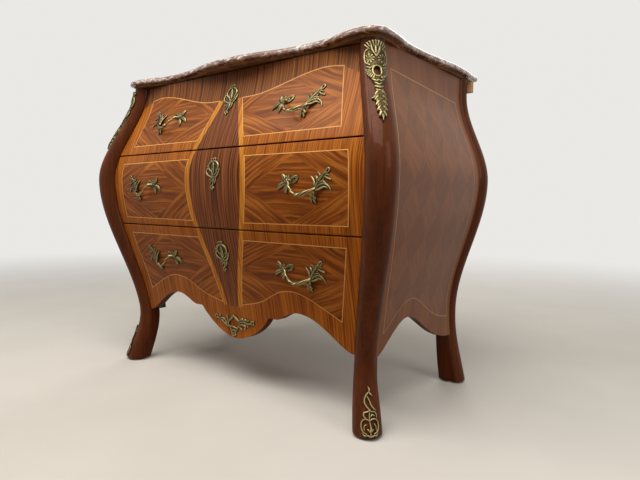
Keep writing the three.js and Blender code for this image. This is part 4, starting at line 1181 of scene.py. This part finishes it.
# The escutcheons: an oval of scrolls round a keyhole leaf, and a drop below; heights from their middle
ESCUTCHEON_REACH = 41.0
ESCUTCHEON_FIELD = ((-28, 28), (-82, 4))
ESCUTCHEON_SCROLLS = [
    [(1, 34, 2.2), (-9, 31, 2.7), (-15, 24, 3.0), (-14, 16, 2.8), (-8, 10, 2.2)],
    [(1, 34, 2.2), (10, 32, 2.8), (17.5, 25, 3.1), (17.5, 16, 2.9), (11, 10, 2.2)],
    ring_points(-5.5, 37, 3.6, 1.6),
    ring_points(3.2, 38.5, 3.2, 1.6),
    [(-20, 16, 1.8), (-23, 8, 2.6), (-18, 1, 3.1), (-10, -2.5, 2.9), (-2, -6, 2.7)],
    [(-23.5, 23.5, 1.2), (-18.5, 20, 1.9), (-14, 17, 2.0)],
    [(22.8, 14, 1.6), (21, 7, 2.4), (17, 0, 2.7), (12, -4, 2.7), (5, -8, 2.9)],
    [(-5, 0, 2.0), (0, -1, 2.3), (6, 0.5, 2.2), (11, 3.5, 2.1), (15, 9, 1.8)],
    [(3, -4, 3.2), (4, -12, 3.5), (2, -20, 2.8), (-2, -26, 2.2)],
    [(-2, -6, 2.4), (-8, -10, 2.2), (-14, -12, 1.2)],
    [(-1, -12, 2.2), (-6, -15, 2.1), (-8.5, -19.5, 1.2)],
    [(12, -5, 2.3), (10, -13, 2.3), (6, -20, 1.6)],
    ring_points(-4, -29, 3.8, 1.9),
    [(1.5, -30, 2.8)],
    [(-2, -33, 2.2), (-1.5, -37, 1.2)],
]
# The ground closes the openings between the scrolls and lies low, so it takes the dark of the hollows:
# painted shade and grime where the casting is open
ESCUTCHEON_GROUND = [[(0, 28, 11), (1, 16, 15), (-2, 4, 14)], [(4, 0, 12), (2, -12, 6), (0, -24, 4)]]
KEY_LEAF = [[(0, 31, 2.2), (0, 24, 4.0), (0, 15, 5.2), (0, 8, 5.0), (0, 1, 2.6)]]
KEY_HOLE = [[(0, 0, 2.5)], [(0, 0, 1.4), (0, -7, 1.5)]]


def build_escutcheons():
    for drawer, drop in ESCUTCHEON_TOP.items():
        top = DRAWERS[drawer]["to"] - drop
        relief = Relief(ESCUTCHEON_FIELD, z=top)
        relief.add(moved(ESCUTCHEON_GROUND, 0, top - ESCUTCHEON_REACH), top=0.5)
        relief.add(moved(ESCUTCHEON_SCROLLS, 0, top - ESCUTCHEON_REACH), rise=0.95)
        relief.add(moved(KEY_LEAF, 0, top - ESCUTCHEON_REACH), top=2.6)
        relief.pierce(moved(KEY_HOLE, 0, top - KEY_DROP))
        casting(f"escutcheon_{drawer}", f"{drawer}_drawer", [relief.mesh(on_face)])


build_escutcheons()

# The apron mount: two winged arms of scrolls beside an open lozenge, and a drop; heights from the floor
APRON_FIELD = ((-76, 78), (134, 200))
APRON_FULLNESS = 1.2
APRON_STROKES = [
    ring_points(-67, 182, 4.6, 1.8),
    [
        (-62, 179, 2.0), (-55, 176, 2.3), (-48, 174, 2.5), (-42, 169, 2.4),
        (-36, 166, 2.4), (-29, 160.5, 2.2), (-20, 160, 2.2),
    ],
    [(-56, 178, 2.0), (-53, 184, 2.2), (-50.5, 189.5, 1.5)],
    [(-48, 175, 1.8), (-52, 171, 2.4)],
    [(-55, 177, 1.8), (-47, 179.5, 2.2), (-38, 178.5, 2.3), (-33, 172, 2.1), (-28, 167, 2.0)],
    [(-24, 172, 2.4), (-24, 181, 2.3), (-25, 187, 2.1), (-26.5, 191.5, 1.3)],
    [(0, 196, 1.4), (-1, 191, 2.6), (-9, 184, 2.9), (-19, 176, 2.8), (-23, 168, 2.5), (-20, 161, 2.5)],
    [
        (0, 192, 2.6), (6, 186.5, 3.4), (14, 181, 3.2), (20, 176, 2.6),
        (19, 168, 2.4), (12, 161, 2.4), (7, 155, 2.0),
    ],
    [(-19, 160.6, 2.7), (-8, 161.4, 2.2), (-1, 160, 2.7), (7, 158.6, 2.3)],
    [(-16, 158, 2.5), (-12, 149, 2.5), (-8, 143, 2.2)],
    [(6, 157, 2.1), (3, 150, 2.2), (1, 144, 2.0)],
    [(-11, 151, 2.0), (-3, 152, 2.2), (3, 150, 1.8)],
    ring_points(-4, 141, 3.9, 1.8),
    [(2.5, 141, 2.7)],
    [(20, 178, 2.2), (25, 184, 2.3), (32, 186.5, 3.1)],
    [(32, 186.5, 2.2), (38, 184.5, 2.0), (44, 186.5, 3.0)],
    [(44, 186.5, 2.2), (49, 184, 2.0), (54, 187.5, 1.3)],
    [(19, 176, 2.4), (29, 178.5, 2.4), (38, 179.5, 2.4), (46, 176.5, 2.5), (57, 178, 2.3), (63, 180.5, 2.0)],
    ring_points(67.5, 181.5, 4.4, 1.8),
    [(71, 184, 1.6), (74, 188, 1.1)],
    [(20, 170, 2.5), (29, 171, 2.2), (36, 170.5, 2.3), (40, 168, 2.3), (38, 161.5, 2.8)],
    [(18, 164, 2.3), (23, 160, 2.2), (27.5, 156.5, 1.3)],
    [(46, 176, 1.8), (49, 170, 2.4)],
]


def build_apron_mount():
    relief = Relief(APRON_FIELD)
    relief.add(moved(APRON_STROKES, 0, 0, APRON_FULLNESS), rise=0.9)
    casting("apron_mount", "lower_drawer", [relief.mesh(on_face)])


build_apron_mount()

# The corner mounts: a fan and a shell between scrolls, petals round an oval hole, a neck and a ruffled leaf

# The strokes give the distance from the middle line and the depth under the mount's top
CORNER_TOP = CASE_TOP - 8
CORNER_FIELD = ((-27, 27), (-174, 3))
CORNER_CROWN = 3.2
CORNER_RUFFLE = ((111, 8.5), (121, 9.5), (132, 9), (143, 7.5), (154, 5))


def rays(centre, radii, turns, count, widths):
    """Straight strokes that spread round a centre between two turns in degrees, 0 pointing up."""
    strokes = []
    for turn in np.radians(np.linspace(*turns, count)):
        ends = zip(radii, widths)
        strokes.append([(centre[0] + r * math.sin(turn), centre[1] - r * math.cos(turn), w) for r, w in ends])
    return strokes


CORNER_GROUND = [
    [(0, 10, 9), (0, 22, 19), (0, 40, 21), (0, 52, 18)],
    [(0, 58, 16), (0, 72, 16), (0, 84, 11), (0, 97, 6)],
]
CORNER_LEAF_GROUND = [[(0, 115, 4), (0, 126, 8.5), (0, 145, 7.5), (0, 158, 4.5), (0, 168, 1.5)]]
CORNER_STROKES = [
    *rays((0, 32), (12, 30), (-42, 42), 9, (1.2, 2.3)),
    *mirrored(
        [(-8, 13, 2.0), (-5.5, 24, 3.0), (0, 35, 3.0)],
        [(-13, 19, 1.6), (-19.5, 24, 2.4), (-22, 35, 2.7), (-20.5, 47, 2.5), (-13, 54, 2.1)],
        [(-19, 57, 1.7), (-11, 61, 2.2), (-5, 56, 1.8)],
        [(-10, 86, 2.0), (-4, 90, 2.6), (0, 88, 2.4)],
        *rays((-12.5, 40), (2.5, 9), (0, 320), 9, (1.0, 1.9)),
        *rays((0, 64), (11.5, 20.5), (-92, -158), 6, (1.4, 2.4)),
        *[
            [(-0.2 * reach, depth, 2.0), (-0.55 * reach, depth + 4, 3.4), (-reach, depth + 9, 2.2)]
            for depth, reach in CORNER_RUFFLE
        ],
    ),
    [(0, 14, 2.2), (0, 28, 3.2)],
    ring_points(0, 68, 8.0, 2.2, 1.45),
    [(-5, 94, 1.8), (0, 98, 2.6), (5, 94, 1.8)],
    [(0, 98, 2.0), (0, 110, 2.0)],
    [(-6.5, 102, 2.0), (0, 104.5, 3.4), (6.5, 102, 2.0)],
    [(-5.5, 109, 2.0), (0, 111.5, 3.2), (5.5, 109, 2.0)],
    [(0, 116, 1.8), (1.2, 130, 2.2), (-1.2, 148, 2.0), (0, 172, 1.0)],
    [(-6, 120, 2.0), (-12, 126, 1.8), (-16.5, 126, 1.0)],
]
CORNER_HOLE = [[(0, 63.5, 5.4), (0, 72.5, 5.4)]]


def downwards(strokes, top):
    return [[(s, top - depth, w) for s, depth, w in stroke] for stroke in strokes]


def build_corner_mounts():
    relief = Relief(CORNER_FIELD, z=CORNER_TOP)
    relief.add(downwards(CORNER_GROUND, CORNER_TOP), top=0.7)
    relief.add(downwards(CORNER_LEAF_GROUND, CORNER_TOP), top=2.3)
    relief.add(downwards(CORNER_STROKES, CORNER_TOP), rise=0.95)
    relief.pierce(downwards(CORNER_HOLE, CORNER_TOP))
    for side_name, side in BOTH:
        casting(f"corner_mount_{side_name}", "carcass", [relief.mesh(on_nose, crown=CORNER_CROWN)], side)


build_corner_mounts()

# The foot mounts: a thin pierced stem of scrolls over a heart; depths from the top
FOOT_TOP = 103.0
FOOT_FIELD = ((-22, 22), (-97, 2))
FOOT_CROWN = 1.6
FOOT_STROKES = [
    [(-1, 0, 0.9), (1.2, 5, 2.0), (0, 10, 1.6)],
    [(0, 10, 1.4), (3, 14, 2.0), (6.5, 17.5, 1.0)],
    [(0, 10, 1.4), (-4, 15, 1.6), (-8, 22, 1.8), (-8.5, 31, 1.8), (-5, 38, 1.8), (0, 44, 1.9)],
    [(-3, 19, 1.5), (1, 28, 1.6), (4, 36, 1.7), (8.5, 42, 1.8), (13.5, 46, 1.1)],
    [(-8, 26, 1.4), (-11, 31, 1.0)],
    [(0, 45, 2.5)],
    [(0, 46, 1.6), (-6, 48, 1.9), (-11, 50, 1.9), (-11.5, 56, 1.9), (-7, 61, 1.6)],
    [(1, 47, 1.6), (9, 48, 1.7), (13.5, 53, 1.7), (14.5, 59, 1.3)],
    [(1, 57, 1.4), (5, 53, 1.6), (10, 56, 1.3)],
    [(0, 46, 1.6), (-1, 56, 1.6), (-1, 64, 1.8)],
    [(-1, 64, 1.8), (-9, 61, 1.8), (-16, 66, 1.8), (-18, 75, 1.9), (-15, 84, 1.9), (-8, 89, 1.8)],
    [(-1, 64, 1.8), (7, 60.5, 1.8), (15, 65, 1.8), (17.5, 75, 1.9), (15, 84, 1.9), (8, 88, 1.8)],
    [
        (-17, 86, 1.1), (-12, 91.5, 1.9), (-6, 91, 1.8), (0, 93, 2.1),
        (7, 91, 1.8), (12, 91.5, 1.9), (16.5, 86, 1.1),
    ],
    [(-1, 67, 1.4), (1, 76, 1.7), (0, 84, 2.8)],
    [(-5, 79.5, 1.4), (0, 84.5, 2.2), (5, 80, 1.4)],
    [(-12, 82, 1.3), (-12, 75, 1.4), (-8, 71, 1.1)],
    [(12, 82, 1.3), (11, 74, 1.4), (8, 70, 1.1)],
    [(0, 84, 2.0), (0, 92, 2.0)],
]


def build_foot_mounts():
    relief = Relief(FOOT_FIELD, z=FOOT_TOP)
    relief.add(downwards(FOOT_STROKES, FOOT_TOP), rise=1.0)
    for side_name, side in BOTH:
        casting(f"foot_mount_{side_name}", "carcass", [relief.mesh(on_nose, crown=FOOT_CROWN)], side)


build_foot_mounts()

# Nodes that keep their shape

KEPT = {
    "wall_spacer": DEAL,
    "glide": PLASTIC,
    "back_panel": PLY,
    "bottom_board": DEAL,
    "top_rail": DEAL,
    "drawer_rail": DEAL,
    "runner": DEAL_LONG,
    "drawer_back": DEAL,
    "drawer_bottom": PLY,
    "drawer_side": DEAL_LONG,
    "lock": STEEL,
}
for node_name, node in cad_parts.items():
    for start, material in KEPT.items():
        if node_name.startswith(start):
            node.data.materials.clear()
            node.data.materials.append(material)

# Floor, light and camera

# The backdrop, which the floor fades to between two distances, and the strength of the room's light
BACKDROP = rgb(240, 238, 234)
BACKDROP_LEVEL = 0.95
ROOM_LEVEL = 0.13
FLOOR_HALF = 30.0
FADE_FROM = 0.9
FADE_TO = 4.2

# The light brown that the floor lends to what stands on it
FLOOR_BOUNCE = rgb(112, 70, 30)

# The photo's camera: focal length and width in pixels, turns in degrees to the left, down and over, and place
FOCAL_PIXELS = 509.844
PHOTO_WIDTH = 640
SENSOR_WIDTH = 36.0
CAMERA_TURNS = (37.6505, 3.9693, 0.7861)
CAMERA_PLACE = (0.9751, -1.0969, 0.4826)

# The lamps: name, place, target, width and height, power, colour
LAMPS = (
    ("window_left", (-1.35, -1.53, 2.57), (0.2, -0.2, 0.6), (0.8, 0.8), 15, (1.0, 0.99, 0.97)),
    ("window_right", (3.2, -0.6, 1.9), (0, 0, 0.5), (1.4, 2.0), 27, (0.96, 0.98, 1.0)),
    ("ceiling", (0.4, -1.45, 2.9), (0, -0.2, 0.5), (2.6, 2.0), 100, (1.0, 0.98, 0.95)),
    ("window_back", (-1.2, 3.4, 2.2), (0, 0, 0.4), (2.2, 2.2), 46, (1.0, 0.99, 0.97)),
)


def shown_to_eye(g):
    """1 for the rays that show the background: from the camera, mirrored, or through clear material."""
    path = g.put("ShaderNodeLightPath")
    seen = g.math("MAXIMUM", path.outputs["Is Camera Ray"], path.outputs["Is Glossy Ray"])
    return g.math("MAXIMUM", seen, path.outputs["Is Transmission Ray"])


def build_floor():
    mesh = bpy.data.meshes.new("floor")
    corners = [(x * FLOOR_HALF, y * FLOOR_HALF, 0) for x, y in ((-1, -1), (1, -1), (1, 1), (-1, 1))]
    mesh.from_pydata(corners, [], [(0, 1, 2, 3)])
    g = surface("floor_paper", Roughness=0.75, Specular_IOR_Level=0.2)
    speck = g.noise(g.coordinates(), 3.0, 3.0)
    paper = g.ramp(speck, (0.3, rgb(204, 198, 188)), (0.7, rgb(210, 204, 194)))
    shown = shown_to_eye(g)
    g.shade("Base Color", g.mix(shown, FLOOR_BOUNCE, paper))
    distance = g.put("ShaderNodeVectorMath", {0: g.coordinates()}, operation="LENGTH").outputs["Value"]
    sockets = {0: distance, 1: FADE_FROM, 2: FADE_TO}
    fade = g.put("ShaderNodeMapRange", sockets, interpolation_type="SMOOTHSTEP")
    far = g.math("MULTIPLY", fade.outputs[0], shown)
    haze = g.put("ShaderNodeEmission", {"Color": BACKDROP, "Strength": BACKDROP_LEVEL})
    blended = g.put("ShaderNodeMixShader", {0: far, 1: g.shader.outputs[0], 2: haze.outputs[0]})
    g.links.new(blended.outputs[0], g.nodes["Material Output"].inputs["Surface"])
    mesh.materials.append(g.holder)
    floor = bpy.data.objects.new("floor", mesh)
    bpy.context.scene.collection.objects.link(floor)


def build_world():
    g = Graph(bpy.data.worlds.new("soft_studio"), "Background", Color=BACKDROP)
    sockets = {"Value": shown_to_eye(g), "To Min": ROOM_LEVEL, "To Max": BACKDROP_LEVEL}
    g.shade("Strength", g.put("ShaderNodeMapRange", sockets).outputs[0])
    bpy.context.scene.world = g.holder


def lamp(name, place, target, size, power, colour):
    data = bpy.data.lights.new(name, "AREA")
    data.shape = "RECTANGLE"
    data.size, data.size_y = size
    data.energy = power
    data.color = colour
    piece = bpy.data.objects.new(name, data)
    piece.location = place
    piece.rotation_euler = (Vector(target) - Vector(place)).to_track_quat("-Z", "Y").to_euler()
    bpy.context.scene.collection.objects.link(piece)


def build_camera():
    data = bpy.data.cameras.new("camera")
    data.sensor_width = SENSOR_WIDTH
    data.lens = FOCAL_PIXELS / PHOTO_WIDTH * SENSOR_WIDTH
    data.clip_start = 0.05
    camera = bpy.data.objects.new("camera", data)
    yaw, pitch, roll = (math.radians(a) for a in CAMERA_TURNS)
    forward = Vector((-math.sin(yaw) * math.cos(pitch), math.cos(yaw) * math.cos(pitch), -math.sin(pitch)))
    right = Vector((math.cos(yaw), math.sin(yaw), 0.0))
    up = right.cross(forward)
    across = right * math.cos(roll) + up * math.sin(roll)
    upward = up * math.cos(roll) - right * math.sin(roll)
    axes = Matrix((across, upward, -forward)).transposed().to_4x4()
    camera.matrix_world = Matrix.Translation(CAMERA_PLACE) @ axes
    bpy.context.scene.collection.objects.link(camera)
    bpy.context.scene.camera = camera


build_floor()
build_world()
for settings in LAMPS:
    lamp(*settings)
build_camera()
bpy.context.scene.view_settings.view_transform = "Standard"
